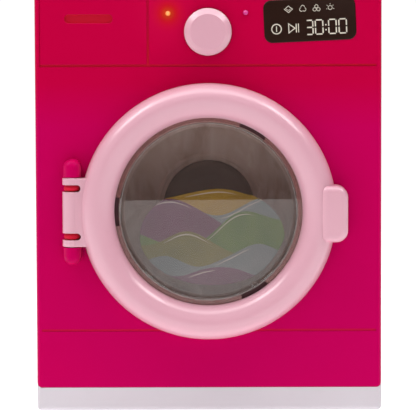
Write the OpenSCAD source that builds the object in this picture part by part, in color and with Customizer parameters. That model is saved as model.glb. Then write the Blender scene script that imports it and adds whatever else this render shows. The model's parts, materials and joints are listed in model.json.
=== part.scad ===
// Toy washing machine: two-part cabinet on a base, round hinged door with a smoky window,
// turning drum on a geared motor, press-and-turn knob, detergent drawer, lamps, display,
// loudspeaker, power switch and battery hatch.
// Frame: +X to the right, the front faces -Y, +Z up. The origin is the middle of the base's underside.

/* [Cabinet] */
// Overall width of the cabinet
body_w = 200; // [198:1:204]
// Overall depth of the cabinet
body_d = 120; // [120:1:126]
// Height of the base under the cabinet
base_h = 13.3; // [13.0:0.1:14.0]
// Height of the worktop cover
top_h = 13.5; // [12:0.5:16]
// Wall thickness of the mouldings
wall = 2.2; // [2.0:0.1:2.4]
// Radius of the cabinet's outer edges
edge_r = 2.6; // [2.4:0.1:3.2]
// Width of the moulded grooves
groove_w = 1.4; // [1.0:0.1:1.6]
// Depth of the moulded grooves
groove_d = 0.7; // [0.5:0.1:1.0]

/* [Door] */
// Outer radius of the door ring
ring_ro = 73.9; // [73:0.1:74]
// Inner radius of the door ring, where the window shows
ring_ri = 54.1; // [53.8:0.1:54.6]
// Radius of the ring's crown
ring_rc = 65; // [64:0.5:66]
// Radius of the porthole in the cabinet
port_r = 56; // [55.5:0.1:56.5]
// Radius of the door's hinge pins
pin_r = 2.0; // [1.8:0.1:2.2]
// Radial running clearance of pins, shafts and plungers
run_gap = 0.06; // [0.03:0.01:0.09]
// Height of the hinge lug on the door
lug_h = 39.6; // [39:0.2:40]

/* [Drum] */
// Outer radius of the drum
drum_ro = 57; // [56.8:0.1:57.4]
// Wall thickness of the drum
drum_t = 1.5; // [1.2:0.1:1.8]
// Number of lifter ribs inside the drum
lifters = 3; // [2:1:4]
// Radius of the drum shaft
shaft_r = 3.0; // [2.8:0.1:3.2]

/* [Drive] */
// Gear module
gear_m = 0.8; // [0.8:0.1:0.8]
// Teeth on the drum gear
drum_teeth = 60; // [60:12:60]
// Teeth on the small idler gear
idler_small = 12; // [12:1:12]
// Teeth on the large idler gear
idler_large = 40; // [40:10:40]
// Teeth on the motor pinion
motor_teeth = 10; // [10:1:10]

/* [Controls] */
// Radius of the knob
knob_r = 13.65; // [13.3:0.05:13.75]
// Travel of the knob when pressed
knob_travel = 1.6; // [1.2:0.1:1.6]
// Radius of the lamp domes
lamp_r = 1.5; // [1.4:0.1:1.6]
// Tilt of the display panel in its pocket
display_tilt = 2.5; // [0:0.1:2.6]

/* [Power] */
// Radius of one AA cell
cell_r = 7.1; // [6.9:0.1:7.1]
// Length of one AA cell without its nub
cell_l = 50; // [49.5:0.1:50]

/* [Hidden] */
$fn = 64;

crimson = [0.76, 0.02, 0.30];
maroon = [0.27, 0.12, 0.14];
pink = [0.89, 0.67, 0.74];
palegrey = [0.86, 0.84, 0.87];
drumgrey = [0.55, 0.54, 0.54];
smoke = [0.35, 0.32, 0.31, 0.45];
steel = [0.75, 0.76, 0.78];
nylon = [0.93, 0.93, 0.90];

body_h = 237.2;
W = body_w; D = body_d; t = wall;
yf = -D / 2; yb = D / 2;
zb = base_h; zt = base_h + body_h; ztop = zt + top_h;
split_y = 20;
dz = 116;                        // height of the door and drum axis
low_r = 3.2;                     // corner radius at the foot of the cabinet
groove_top = 200; groove_low = 46.7;   // middles of the grooves
hinge_x = -78.5; hinge_y = yf - 6;
slot_z = [dz + 13.85, dz - 13.95];   // slots in the hinge lug
knob_z = 219.4;
rest_gap = 0.4;                  // door back to cabinet front

// ---------- helpers ----------
module rrect(w, h, r) {
  square([w - 2 * r, h], center = true);
  square([w, h - 2 * r], center = true);
  for (sx = [-1, 1], sz = [-1, 1]) translate([sx * (w / 2 - r), sz * (h / 2 - r)]) circle(r = r);
}
module rbottom(w, h, r) {
  translate([-w / 2, r]) square([w, h - r]);
  translate([-w / 2 + r, 0]) square([w - 2 * r, h]);
  for (s = [-1, 1]) translate([s * (w / 2 - r), r]) circle(r = r);
}
// stands on Z = 0, with rt at the top corners and rb at the bottom ones
module rtopbottom(w, h, rt, rb) {
  translate([-w / 2, rb]) square([w, h - rt - rb]);
  translate([-w / 2 + rb, 0]) square([w - 2 * rb, h - rt]);
  translate([-w / 2 + rt, rb]) square([w - 2 * rt, h - rb]);
  for (s = [-1, 1]) {
    translate([s * (w / 2 - rb), rb]) circle(r = rb);
    translate([s * (w / 2 - rt), h - rt]) circle(r = rt);
  }
}
module box(x0, x1, y0, y1, z0, z1) translate([x0, y0, z0]) cube([x1 - x0, y1 - y0, z1 - z0]);
module ycyl(x, z, y0, y1, r) translate([x, y1, z]) rotate([90, 0, 0]) cylinder(r = r, h = y1 - y0);
module zcyl(x, y, z0, z1, r) translate([x, y, z0]) cylinder(r = r, h = z1 - z0);
module yext(y0, y1) translate([0, y1, 0]) rotate([90, 0, 0]) linear_extrude(y1 - y0) children();
// profile points are [radius, -Y]
module yrev(x, z) translate([x, 0, z]) rotate([90, 0, 0]) rotate_extrude($fn = 96) children();

// self-tapping screw along Y: the head's inner face at y, pointing towards -Y
module screw_y(x, z, y, len, hr = 2.6, hh = 1.7, sr = 1.2) difference() {
  union() {
    ycyl(x, z, y, y + hh, hr);
    ycyl(x, z, y - len, y + 0.1, sr);
  }
  for (a = [45, 135]) translate([x, 0, z]) rotate([0, a, 0]) box(-hr * 0.62, hr * 0.62, y + hh * 0.45, y + hh + 1, -0.35, 0.35);
}

// involute gear outline, tooth centred on the +X axis
function inv_a(a) = tan(a) * 180 / PI - a;
function gear_outline(n, m, pa = 20, play = 0.12, add = 0.95, ded = 1.2) =
  let (r = m * n / 2, rb = r * cos(pa), ra = r + add * m, rr = r - ded * m,
       half = (90 - play * 180 / (PI * m) / 2 * 1) / n,
       r0 = max(rb, rr),
       rs = [for (i = [0 : 4]) r0 + (ra - r0) * i / 4],
       ang = [for (q = rs) half + inv_a(pa) - inv_a(acos(min(1, rb / q)))])
  [for (k = [0 : n - 1]) let (c = 360 * k / n)
     each concat(
       rr < rb - 0.01 ? [[rr * cos(c - ang[0]), rr * sin(c - ang[0])]] : [],
       [for (i = [0 : 4]) [rs[i] * cos(c - ang[i]), rs[i] * sin(c - ang[i])]],
       [for (i = [4 : -1 : 0]) [rs[i] * cos(c + ang[i]), rs[i] * sin(c + ang[i])]],
       rr < rb - 0.01 ? [[rr * cos(c + ang[0]), rr * sin(c + ang[0])]] : [])];
module gear_y(x, z, y0, y1, n, a) yext(y0, y1) translate([x, z]) rotate(a) polygon(gear_outline(n, gear_m));

// the whole cabinet block between two planes across Y
module cabinet(y0, y1) intersection() {
  yext(yf, yb) translate([0, zb]) rtopbottom(W, body_h, edge_r, low_r);
  translate([0, 0, zb]) linear_extrude(body_h) rrect(W, D, edge_r);
  translate([-W / 2, 0, zb]) rotate([90, 0, 90]) linear_extrude(W) rtopbottom(D, body_h, edge_r, 0.6);
  box(-W, W, y0, y1, 0, zt + 5);
}

// ---------- positions that several pieces share ----------
shell_bosses = [[-91, 30], [91, 30], [-91, dz], [91, dz], [-91, 190], [91, 190], [0, 243.5]];
tub_r = 67;
tub_bosses = [for (a = [45, 135, 225, 315]) [tub_r * cos(a), dz + tub_r * sin(a)]];
board_bosses = [[-30.5, 211], [-30.5, 235.5], [56, 211], [56, 235.5]];
plate_posts = [[-29, 131], [32, 137], [40, 88], [-29, 68]];
base_bosses = [[-85, -45], [85, -45], [-85, 45], [85, 45]];
hook_x = [-60, 60];
lamp_pos = [[-23, 230], [21.7, 230.3]];
display_c = [58.6, 226];
ring_screw_a = [30, 90, 150, 210, 270, 330];
speaker_c = [50, 190]; speaker_r = 18;
switch_c = [60, 45];
cell_x = [-72.3, -57, -41.7]; cell_y = 49.8; cell_z = 36.6;

// gear train, all on one line that leaves the drum axis at drive_a
drive_a = -60;
c_idler = gear_m * (drum_teeth + idler_small) / 2;
c_motor = c_idler + gear_m * (idler_large + motor_teeth) / 2;
idler_c = [c_idler * cos(drive_a), dz + c_idler * sin(drive_a)];
motor_c = [c_motor * cos(drive_a), dz + c_motor * sin(drive_a)];

// door ring section, [radius, -Y]
hb = -yf + rest_gap;             // back face of the door
h_out = hb + 5;                  // where the outer wall starts to curve
ring_outer = concat(
  [[ring_ro, hb]],
  [for (a = [0 : 7.5 : 90]) [ring_rc + (ring_ro - ring_rc) * cos(a), h_out + 11.5 * sin(a)]],
  [for (a = [97.5 : 7.5 : 180]) [ring_rc + (ring_rc - ring_ri) * cos(a), h_out + 1.8 + 9.7 * sin(a)]]);
ring_inner = concat(
  [for (a = [180 : -11.25 : 90]) [ring_rc + (ring_rc - ring_ri - 4.5) * cos(a), h_out - 0.5 + 9.7 * sin(a)]],
  [for (a = [78.75 : -11.25 : 0]) [ring_rc + (ring_ro - ring_rc - 2.3) * cos(a), h_out + 9.2 * sin(a)]],
  [[ring_ro - 2.3, hb]]);

// ---------- base and worktop ----------
module base_plinth() color(palegrey) difference() {
  union() {
    difference() {
      intersection() {
        yext(yf, yb) rbottom(W, base_h, 2.5);
        linear_extrude(base_h) rrect(W, D, edge_r);
        translate([-W / 2, 0, 0]) rotate([90, 0, 90]) linear_extrude(W) rbottom(D, base_h, 2.5);
      }
      box(-W / 2 + 2.4, W / 2 - 2.4, yf + 2.4, yb - 2.4, 2.4, base_h + 1);
    }
    for (p = base_bosses) zcyl(p[0], p[1], 1, base_h, 5);
    box(-W / 2 + 2, W / 2 - 2, -0.8, 0.8, 2, base_h - 2);
    for (x = [-34, 34]) box(x - 0.8, x + 0.8, yf + 2, yb - 2, 2, base_h - 2);
    // low lips that follow the cabinet's rounded foot at both ends
    for (s = [-1, 1]) intersection() {
      linear_extrude(base_h + 1.2) rrect(W, D, edge_r);
      difference() {
        box(min(s * 97.7, s * W / 2), max(s * 97.7, s * W / 2), yf, yb, base_h - 1, base_h + 1.2);
        ycyl(s * (W / 2 - low_r), base_h + low_r, yf - 1, yb + 1, low_r + 0.05);
      }
    }
  }
  for (p = base_bosses) {
    zcyl(p[0], p[1], -1, 8, 3.2);
    zcyl(p[0], p[1], 7, base_h + 1, 1.5);
  }
}

module base_screws() color(steel) for (p = base_bosses) difference() {
  union() {
    zcyl(p[0], p[1], 6.3, 8, 2.6);
    zcyl(p[0], p[1], 7.9, 20, 1.2);
  }
  for (a = [45, 135]) translate([p[0], p[1], 0]) rotate([0, 0, a]) box(-1.6, 1.6, -0.35, 0.35, 5, 7.3);
}

module top_cover() color(palegrey) union() {
  difference() {
    intersection() {
      yext(yf, yb) translate([0, ztop]) mirror([0, 1]) rbottom(W, top_h, 4);
      translate([0, 0, zt]) linear_extrude(top_h) rrect(W, D, edge_r);
      translate([-W / 2, 0, ztop]) rotate([90, 0, 90]) linear_extrude(W) mirror([0, 1]) rbottom(D, top_h, 4);
    }
    box(-W / 2 + 2.4, W / 2 - 2.4, yf + 2.4, yb - 2.4, zt - 1, ztop - 2.4);
  }
  for (x = [-45, 0, 45]) box(x - 0.8, x + 0.8, yf + 2, yb - 2, zt + 4, ztop - 2);
  // four snap hooks that reach down through the cabinet's top wall
  for (x = hook_x, s = [-1, 1]) {
    box(x - 4, x + 4, s * (D / 2 - 10) - 0.9, s * (D / 2 - 10) + 0.9, zt - 6.5, ztop - 2);
    box(x - 4, x + 4, min(s * (D / 2 - 10), s * (D / 2 - 7.8)), max(s * (D / 2 - 10), s * (D / 2 - 7.8)), zt - 6, zt - t - 0.35);
  }
}

// ---------- cabinet ----------
module hinge_boss(s) {           // s = 1 above the lug, -1 below it
  z0 = dz + s * (lug_h / 2 + 0.4);
  z1 = z0 + s * 5.2;
  difference() {
    union() {
      zcyl(hinge_x, hinge_y, min(z0, z1), max(z0, z1), 5.2);
      box(hinge_x - 5.2, hinge_x + 5.2, hinge_y, yf + 0.6, min(z0, z1), max(z0, z1));
      ycyl(hinge_x, z1, hinge_y, yf + 0.6, 5.2);
      translate([hinge_x, hinge_y, z1]) sphere(r = 5.2);
    }
    zcyl(hinge_x, hinge_y, min(z0 - s, z0 + s * 5.6), max(z0 - s, z0 + s * 5.6), pin_r + run_gap);
  }
}

module front_shell() color(crimson) difference() {
  union() {
    difference() {
      cabinet(yf - 1, split_y);
      box(-W / 2 + t, W / 2 - t, yf + t, split_y + 1, zb + t, zt - t);
    }
    hinge_boss(1);
    hinge_boss(-1);
    // guide leaves that stand in the lug's slots
    for (z = slot_z) {
      translate([hinge_x, hinge_y, z]) rotate_extrude() {
        translate([0, -1.8]) square([3.05, 3.6]);
        translate([3.05, 0]) circle(r = 1.8);
      }
      box(hinge_x - 4.5, hinge_x + 3.05, hinge_y, yf + 0.6, z - 1.8, z + 1.8);
      ycyl(hinge_x + 3.05, z, hinge_y, yf + 0.6, 1.8);
    }
    for (p = shell_bosses) ycyl(p[0], p[1], yf + 1, 24, 3.4);
    for (p = tub_bosses) ycyl(p[0], p[1], yf + 1, yf + 4.7, 3.6);
    for (p = board_bosses) ycyl(p[0], p[1], yf + 1, -39.5, 2.8);
    for (p = base_bosses) if (p[1] < 0) zcyl(p[0], p[1], zb + 0.5, 24, 4);
    ycyl(0, knob_z, yf + 1.8, yf + 4.6, 17);
    ycyl(0, knob_z, yf + 1.8, -49, 8);
    // keeper behind the catch slot
    box(72.2, 80.6, yf + 1.5, yf + 4.6, 106.5, 124.5);
  }
  // porthole
  ycyl(0, dz, yf - 2, yf + t + 1, port_r);
  // knob recess and plunger bore
  ycyl(0, knob_z, yf - 1, yf + 1.6, 14.0);
  ycyl(0, knob_z, yf, -48, 5 + run_gap);
  // lamp holes
  for (p = lamp_pos) ycyl(p[0], p[1], yf - 1, yf + t + 1, lamp_r + 0.1);
  // display pocket
  translate([display_c[0], 0, display_c[1]]) rotate([0, -display_tilt, 0]) yext(yf - 1, yf + 1.0) rrect(53.2, 24.7, 4.75);
  // catch slot
  box(74.2, 78.5, yf - 1, yf + 6, 108.5, 122.5);
  // drawer opening in a shallow seat, which leaves the outline of the drawer as a groove
  box(-97.2, -34.6 + groove_w / 2, yf - 1, yf + groove_d, groove_top - groove_w / 2, 246.7);
  box(-95.2, -36.5, yf - 1, yf + t + 1, 202, 244.7);
  // moulded grooves with round ends
  box(-34.6, 97 - groove_w / 2, yf - 1, yf + groove_d, groove_top - groove_w / 2, groove_top + groove_w / 2);
  ycyl(97 - groove_w / 2, groove_top, yf - 1, yf + groove_d, groove_w / 2);
  box(-97 + groove_w / 2, 97 - groove_w / 2, yf - 1, yf + groove_d * 0.6, groove_low - groove_w / 2, groove_low + groove_w / 2);
  for (s = [-1, 1]) ycyl(s * (97 - groove_w / 2), groove_low, yf - 1, yf + groove_d * 0.6, groove_w / 2);
  // pilot holes
  for (p = shell_bosses) ycyl(p[0], p[1], 8, 25, 1.25);
  for (p = tub_bosses) ycyl(p[0], p[1], yf + 0.9, yf + 5, 1.25);
  for (p = board_bosses) ycyl(p[0], p[1], -50, -39, 1.25);
  for (p = base_bosses) if (p[1] < 0) zcyl(p[0], p[1], zb - 1, 22, 1.25);
  // slots for the worktop's hooks
  for (x = hook_x) box(x - 4.4, x + 4.4, -(D / 2 - 10) - 1.2, -(D / 2 - 10) + 1.2, zt - t - 1, zt + 1);
}

module rear_shell() color(crimson) difference() {
  union() {
    difference() {
      cabinet(split_y, yb + 1);
      box(-W / 2 + t, W / 2 - t, split_y - 1, yb - t, zb + t, zt - t);
    }
    // tongue that locates the two halves
    difference() {
      box(-W / 2 + t - 0.2, W / 2 - t + 0.2, split_y, split_y + 4, zb + t - 0.2, zt - t + 0.2);
      box(-W / 2 + t + 1.3, W / 2 - t - 1.3, split_y - 4, split_y + 5, zb + t + 1.3, zt - t - 1.3);
    }
    difference() {
      box(-W / 2 + t + 0.15, W / 2 - t - 0.15, split_y - 2.5, split_y + 1, zb + t + 0.15, zt - t - 0.15);
      box(-W / 2 + t + 1.3, W / 2 - t - 1.3, split_y - 4, split_y + 5, zb + t + 1.3, zt - t - 1.3);
      box(-8, 8, split_y - 4, split_y + 0.5, 238, zt);
    }
    for (p = shell_bosses) ycyl(p[0], p[1], 24.2, yb - 1, 4.4);
    for (p = base_bosses) if (p[1] > 0) zcyl(p[0], p[1], zb + 0.5, 24, 4);
    // battery compartment
    box(-81.6, -32.4, 40, yb - 1, 32.4, 90.6);
    box(-85, -29, 55.8, yb - 1, 28.5, 99);
    ycyl(-57, 94, 48, yb - 1, 3.4);
    // loudspeaker seat
    ycyl(speaker_c[0], speaker_c[1], 55.5, yb - 1, speaker_r + 1.8);
    for (s = [-1, 1]) ycyl(speaker_c[0] + s * 22.5, speaker_c[1], 55.5, yb - 1, 3);
  }
  box(-80, -34, 41.6, yb - 1.9, 34, 89);
  box(-80, -34, 50, yb + 1, 34, 89);
  box(-83, -31, yb - 2, yb + 1, 30.5, 97);
  ycyl(-57, 94, 49, yb + 1, 1.25);
  ycyl(speaker_c[0], speaker_c[1], 51, yb - t, speaker_r + 0.2);
  for (s = [-1, 1]) ycyl(speaker_c[0] + s * 22.5, speaker_c[1], 50, yb - 1.2, 1.25);
  // loudspeaker grille
  ycyl(speaker_c[0], speaker_c[1], yb - 3, yb + 1, 1.3);
  for (a = [0 : 60 : 300]) ycyl(speaker_c[0] + 5.4 * cos(a), speaker_c[1] + 5.4 * sin(a), yb - 3, yb + 1, 1.3);
  for (a = [15 : 30 : 345]) ycyl(speaker_c[0] + 10.8 * cos(a), speaker_c[1] + 10.8 * sin(a), yb - 3, yb + 1, 1.3);
  // power switch slot in a shallow recess
  box(switch_c[0] - 9, switch_c[0] + 9, yb - 1, yb + 1, switch_c[1] - 5.5, switch_c[1] + 5.5);
  box(switch_c[0] - 5.5, switch_c[0] + 5.1, yb - 3, yb + 1, switch_c[1] - 2.2, switch_c[1] + 2.2);
  // screw holes from behind
  for (p = shell_bosses) {
    ycyl(p[0], p[1], 27.2, yb + 1, 3.0);
    ycyl(p[0], p[1], 24, 28, 1.5);
  }
  for (p = base_bosses) if (p[1] > 0) zcyl(p[0], p[1], zb - 1, 22, 1.25);
  for (x = hook_x) box(x - 4.4, x + 4.4, (D / 2 - 10) - 1.2, (D / 2 - 10) + 1.2, zt - t - 1, zt + 1);
}

module shell_screws() color(steel) for (p = shell_bosses) screw_y(p[0], p[1], 27.2, 14);

// ---------- door ----------
// a slightly larger envelope of the ring, which the handle block is cut to sit on
module ring_envelope() yrev(0, dz) polygon([[40, 50], [ring_ro + 0.05, 50], [ring_ro + 0.05, h_out + 2.1], [ring_ro - 1.4, h_out + 6.9],
  [ring_ro - 3.8, h_out + 10], [ring_rc + 1.8, h_out + 11.55], [40, h_out + 11.6]]);

module door_front_ring() color(pink) difference() {
  union() {
    yrev(0, dz) polygon(concat(ring_outer, [[ring_ri, h_out - 1.4], [ring_ri + 4.5, h_out - 1.4]], ring_inner));
    // hinge lug with a round knuckle on the hinge axis
    box(hinge_x, -69, -71.2, -62.6, dz - lug_h / 2, dz + lug_h / 2);
    zcyl(hinge_x, hinge_y, dz - lug_h / 2, dz + lug_h / 2, 5.6);
    for (s = [-1, 1]) zcyl(hinge_x, hinge_y, min(dz + s * lug_h / 2, dz + s * (lug_h / 2 + 5)), max(dz + s * lug_h / 2, dz + s * (lug_h / 2 + 5)), pin_r);
    for (a = ring_screw_a) ycyl(65 * cos(a), dz + 65 * sin(a), -74.6, -62.2, 3);
  }
  // slots that let the cabinet's guide leaves in
  for (z = slot_z) yext(-80, -50) translate([-81.7, z]) rrect(16.6, 4, 1.95);
  for (a = ring_screw_a) ycyl(65 * cos(a), dz + 65 * sin(a), -71, -61, 1.1);
}

module door_back_ring() color(maroon) difference() {
  yrev(0, dz) polygon([[52, hb], [71.1, hb], [71.1, hb + 1.7], [52, hb + 1.7]]);
  for (a = ring_screw_a) {
    ycyl(65 * cos(a), dz + 65 * sin(a), -63, -60, 1.3);
    ycyl(65 * cos(a), dz + 65 * sin(a), -hb - 0.9, -60, 2.4);
  }
}

module sector(a0, a1, r) polygon(concat([[0, 0]], [for (i = [0 : 8]) let (a = a0 + (a1 - a0) * i / 8) [r * cos(a), r * sin(a)]]));

module door_window() color(smoke) difference() {
  yrev(0, dz) polygon([[0, 57.4], [51.1, 57.4], [51.8, 62.2], [58.6, 62.2], [58.6, 63.95], [50.5, 63.95], [49.5, 59.2], [0, 59.2]]);
  // three notches in the rim
  for (a = [180, 61, 300]) yext(-65, -62.0) translate([0, dz]) difference() {
    sector(a - 9, a + 9, 70);
    circle(r = 51.7, $fn = 96);
  }
}

module door_print_film() color([0.45, 0.42, 0.38, 0.6]) yrev(0, dz) square([48.5, 0.5]);

// soft pull block: x 64.4 to 80, z 98.8 to 131.4, front at y = -78.4, wider corners on the right
pull_e = 4; pull_c = 6.8;
module puck(x, z, rc) yrev(x, z) {
  translate([0, 62]) square([rc, 16.4 - pull_e]);
  translate([0, 62]) square([max(0.01, rc - pull_e), 16.4]);
  intersection() {
    translate([rc - pull_e, 78.4 - pull_e]) circle(r = pull_e);
    translate([rc - pull_e, 78.4 - pull_e]) square(pull_e);
  }
}
module pull() {
  xl = 64.4 + pull_e; xr = 80 - pull_c; z0 = 98.8; z1 = 131.4; yr = -78.4 + pull_e;
  for (z = [z0 + pull_c, z1 - pull_c]) puck(xr, z, pull_c);
  for (z = [z0 + pull_e, z1 - pull_e]) {
    translate([xl, yr, z]) sphere(r = pull_e);
    ycyl(xl, z, yr, -62, pull_e);
    translate([xl, yr, z]) rotate([0, 90, 0]) cylinder(r = pull_e, h = xr - xl);
  }
  box(xl, xr, yr, -62, z0, z1);
  box(xl, xr, -78.4, yr, z0 + pull_e, z1 - pull_e);
  zcyl(xl, yr, z0 + pull_e, z1 - pull_e, pull_e);
  box(64.4, xl, yr, -62, z0 + pull_e, z1 - pull_e);
  zcyl(80 - pull_e, yr, z0 + pull_c, z1 - pull_c, pull_e);
  box(xr, 80, yr, -62, z0 + pull_c, z1 - pull_c);
  box(xr, 80 - pull_e, -78.4, yr, z0 + pull_c, z1 - pull_c);
}

module door_handle() color(pink) difference() {
  union() {
    pull();
    box(75.2, 77.0, -62.5, -54.5, 109.5, 121.5);
    box(76.5, 77.8, -56.9, -54.5, 109.5, 121.5);
  }
  ring_envelope();
}

module door_screws() color(steel) for (a = ring_screw_a) mirror([0, 0, 0]) screw_y(65 * cos(a), dz + 65 * sin(a), -hb - 0.85, 8, 2.2, 0.8, 1.05);

// ---------- drum and tub ----------
module inner_tub() color(drumgrey) difference() {
  union() {
    yrev(0, dz) polygon([[5, 5], [62, 5], [62, 57.6], [60, 57.6], [60, 7], [5, 7]]);
    for (i = [0 : 3]) translate([0, 0, dz]) rotate([0, -(45 + 90 * i), 0]) difference() {
      union() {
        box(60.5, tub_r, -55.2, -52.8, -4.5, 4.5);
        ycyl(tub_r, 0, -55.2, -52.8, 4.5);
      }
      ycyl(tub_r, 0, -60, -50, 1.4);
    }
    for (p = plate_posts) ycyl(p[0], p[1], -5.5, 11, 3.6);
    ycyl(idler_c[0], idler_c[1], -5.5, -4.6, 3.6);
  }
  ycyl(0, dz, -8, 0, 6.02);
  ycyl(idler_c[0], idler_c[1], -8, 0, 1.5);
  for (p = plate_posts) ycyl(p[0], p[1], 1, 12, 1.25);
}

module tub_screws() color(steel) for (p = tub_bosses) screw_y(p[0], p[1], -52.8, 5.6);

module drum() color(drumgrey) difference() {
  union() {
    yrev(0, dz) polygon([[0, 11], [drum_ro, 11], [drum_ro, 56.8], [drum_ro - drum_t, 56.8], [drum_ro - drum_t, 13], [9, 13], [9, 19], [0, 19]]);
    for (i = [0 : lifters - 1]) translate([0, 0, dz]) rotate([0, 30 + 360 * i / lifters, 0]) {
      box(-1.6, 1.6, -46, -12, 53.8, drum_ro - 0.6);
      ycyl(0, 53.8, -46, -12, 1.6);
    }
  }
  ycyl(0, dz, -20, -10, shaft_r);
}

module drum_hub_cap() color([0.16, 0.15, 0.15]) yrev(0, dz)
  polygon([[0, 23], [10, 22.6], [18, 21.5], [24, 19.4], [26.4, 17], [27, 13], [25.4, 13], [24.9, 16.4], [23, 18.1], [17.5, 19.9], [9.8, 20.9], [0, 21.3]]);

module drum_shaft() color(steel) ycyl(0, dz, -18.5, 13.5, shaft_r - 0.01);

module drum_bush() color([0.72, 0.58, 0.30]) yrev(0, dz)
  polygon([[shaft_r + run_gap, 1], [6, 1], [6, 7], [8, 7], [8, 9.6], [shaft_r + run_gap, 9.6]]);

module shaft_clip() color(steel) difference() {
  ycyl(0, dz, 7.1, 7.9, 5.5);
  ycyl(0, dz, 6, 9, shaft_r);
  box(-1.6, 1.6, 6, 9, dz - 8, dz);
}

// ---------- drive ----------
module drum_gear() color(nylon) difference() {
  union() {
    gear_y(0, dz, 1, 5, drum_teeth, drive_a);
    ycyl(0, dz, 0, 7, 6);
  }
  ycyl(0, dz, -1, 8, shaft_r);
  for (a = [0 : 60 : 300]) ycyl(14 * cos(a), dz + 14 * sin(a), 0, 6, 4);
}

module idler_gear() color(nylon) difference() {
  union() {
    gear_y(idler_c[0], idler_c[1], 0.6, 6, idler_small, drive_a + 180 + 180 / idler_small);
    gear_y(idler_c[0], idler_c[1], 6, 9, idler_large, drive_a);
    ycyl(idler_c[0], idler_c[1], -4.4, 10.8, 3);
  }
  ycyl(idler_c[0], idler_c[1], -5, 12, 1.5 + run_gap);
}

module idler_axle() color(steel) ycyl(idler_c[0], idler_c[1], -7, 13, 1.49);

module motor_pinion() color([0.80, 0.66, 0.36]) union() {
  gear_y(motor_c[0], motor_c[1], 5.6, 9.6, motor_teeth, drive_a + 180 + 180 / motor_teeth);
  ycyl(motor_c[0], motor_c[1], 5.2, 20, 1);
}

module motor() color(steel) difference() {
  union() {
    intersection() {
      ycyl(motor_c[0], motor_c[1], 13, 38, 10);
      box(motor_c[0] - 11, motor_c[0] + 11, 10, 40, motor_c[1] - 7.6, motor_c[1] + 7.6);
    }
    ycyl(motor_c[0], motor_c[1], 11.3, 14, 3);
    ycyl(motor_c[0], motor_c[1], 37, 39.6, 2.6);
    for (s = [-1, 1]) box(motor_c[0] + s * 6.5 - 0.9, motor_c[0] + s * 6.5 + 0.9, 37.5, 42, motor_c[1] - 0.25, motor_c[1] + 0.25);
  }
  ycyl(motor_c[0], motor_c[1], 10, 21, 1 + run_gap);
}

module motor_cradle() color([0.90, 0.90, 0.88]) difference() {
  union() {
    box(motor_c[0] - 12, motor_c[0] + 12, 13, 23, motor_c[1] - 9.3, motor_c[1] + 9.3);
    box(motor_c[0] - 15, motor_c[0] + 15, 13, 15.5, motor_c[1] - 4, motor_c[1] + 4);
    for (s = [-1, 1]) ycyl(motor_c[0] + s * 15, motor_c[1], 13, 15.5, 4);
  }
  box(motor_c[0] - 10.1, motor_c[0] + 10.1, 12, 24, motor_c[1] - 7.65, motor_c[1] + 7.65);
  for (s = [-1, 1]) ycyl(motor_c[0] + s * 15, motor_c[1], 12, 17, 1.4);
}

module motor_screws() color(steel) for (s = [-1, 1]) screw_y(motor_c[0] + s * 15, motor_c[1], 15.5, 4.4, 2.4, 1.4);

module gear_plate() color([0.90, 0.90, 0.88]) difference() {
  yext(11, 13) polygon([[-34, 62], [46, 62], [46, 94], [38, 143], [-34, 137]]);
  ycyl(0, dz, 10, 14, shaft_r + run_gap);
  ycyl(idler_c[0], idler_c[1], 10, 14, 1.5);
  ycyl(motor_c[0], motor_c[1], 10, 14, 3.05);
  for (p = plate_posts) ycyl(p[0], p[1], 10, 14, 1.4);
  for (s = [-1, 1]) ycyl(motor_c[0] + s * 15, motor_c[1], 10, 14, 1.25);
}

module gear_plate_screws() color(steel) for (p = plate_posts) screw_y(p[0], p[1], 13, 9, 2.6, 1.7);

// ---------- control strip ----------
module control_board() color([0.10, 0.42, 0.22]) difference() {
  box(-34, 60, -39.5, -37.9, 207, 239.5);
  for (p = board_bosses) ycyl(p[0], p[1], -41, -37, 1.4);
}

module board_screws() color(steel) for (p = board_bosses) screw_y(p[0], p[1], -37.9, 8, 2.4, 1.4);

module sound_chip() color([0.06, 0.06, 0.06]) union() {
  ycyl(30, 223, -37.9, -36.6, 6);
  ycyl(30, 223, -36.7, -36.0, 4.4);
  for (x = [8, 46]) ycyl(x, 216, -37.9, -31, 2.5);
}

module push_switch() color([0.20, 0.20, 0.22]) union() {
  box(-3, 3, -42.9, -39.5, knob_z - 3, knob_z + 3);
  ycyl(0, knob_z, -45.3 + knob_travel, -42.8, 1.7);
}

module knob_cap() color(pink) yrev(0, knob_z)
  polygon([[2.5 + run_gap, 61.6], [6.2, 61.6], [6.2, 65.8], [12, 65.8], [12, 60.9], [knob_r, 60.9], [knob_r, 65.6],
           [knob_r - 0.3, 66.3], [knob_r - 0.9, 66.75], [10.2, 68.5], [0, 68.5], [0, 66.4], [2.5 + run_gap, 66.4]]);

module knob_plunger() color(nylon) yrev(0, knob_z)
  polygon([[0, 45.4], [2.2, 45.4], [2.2, 47.4], [7, 47.4], [7, 48.9], [5, 48.9], [5, 61.4], [2.5, 61.4], [2.5, 66.2], [0, 66.2]]);

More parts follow.
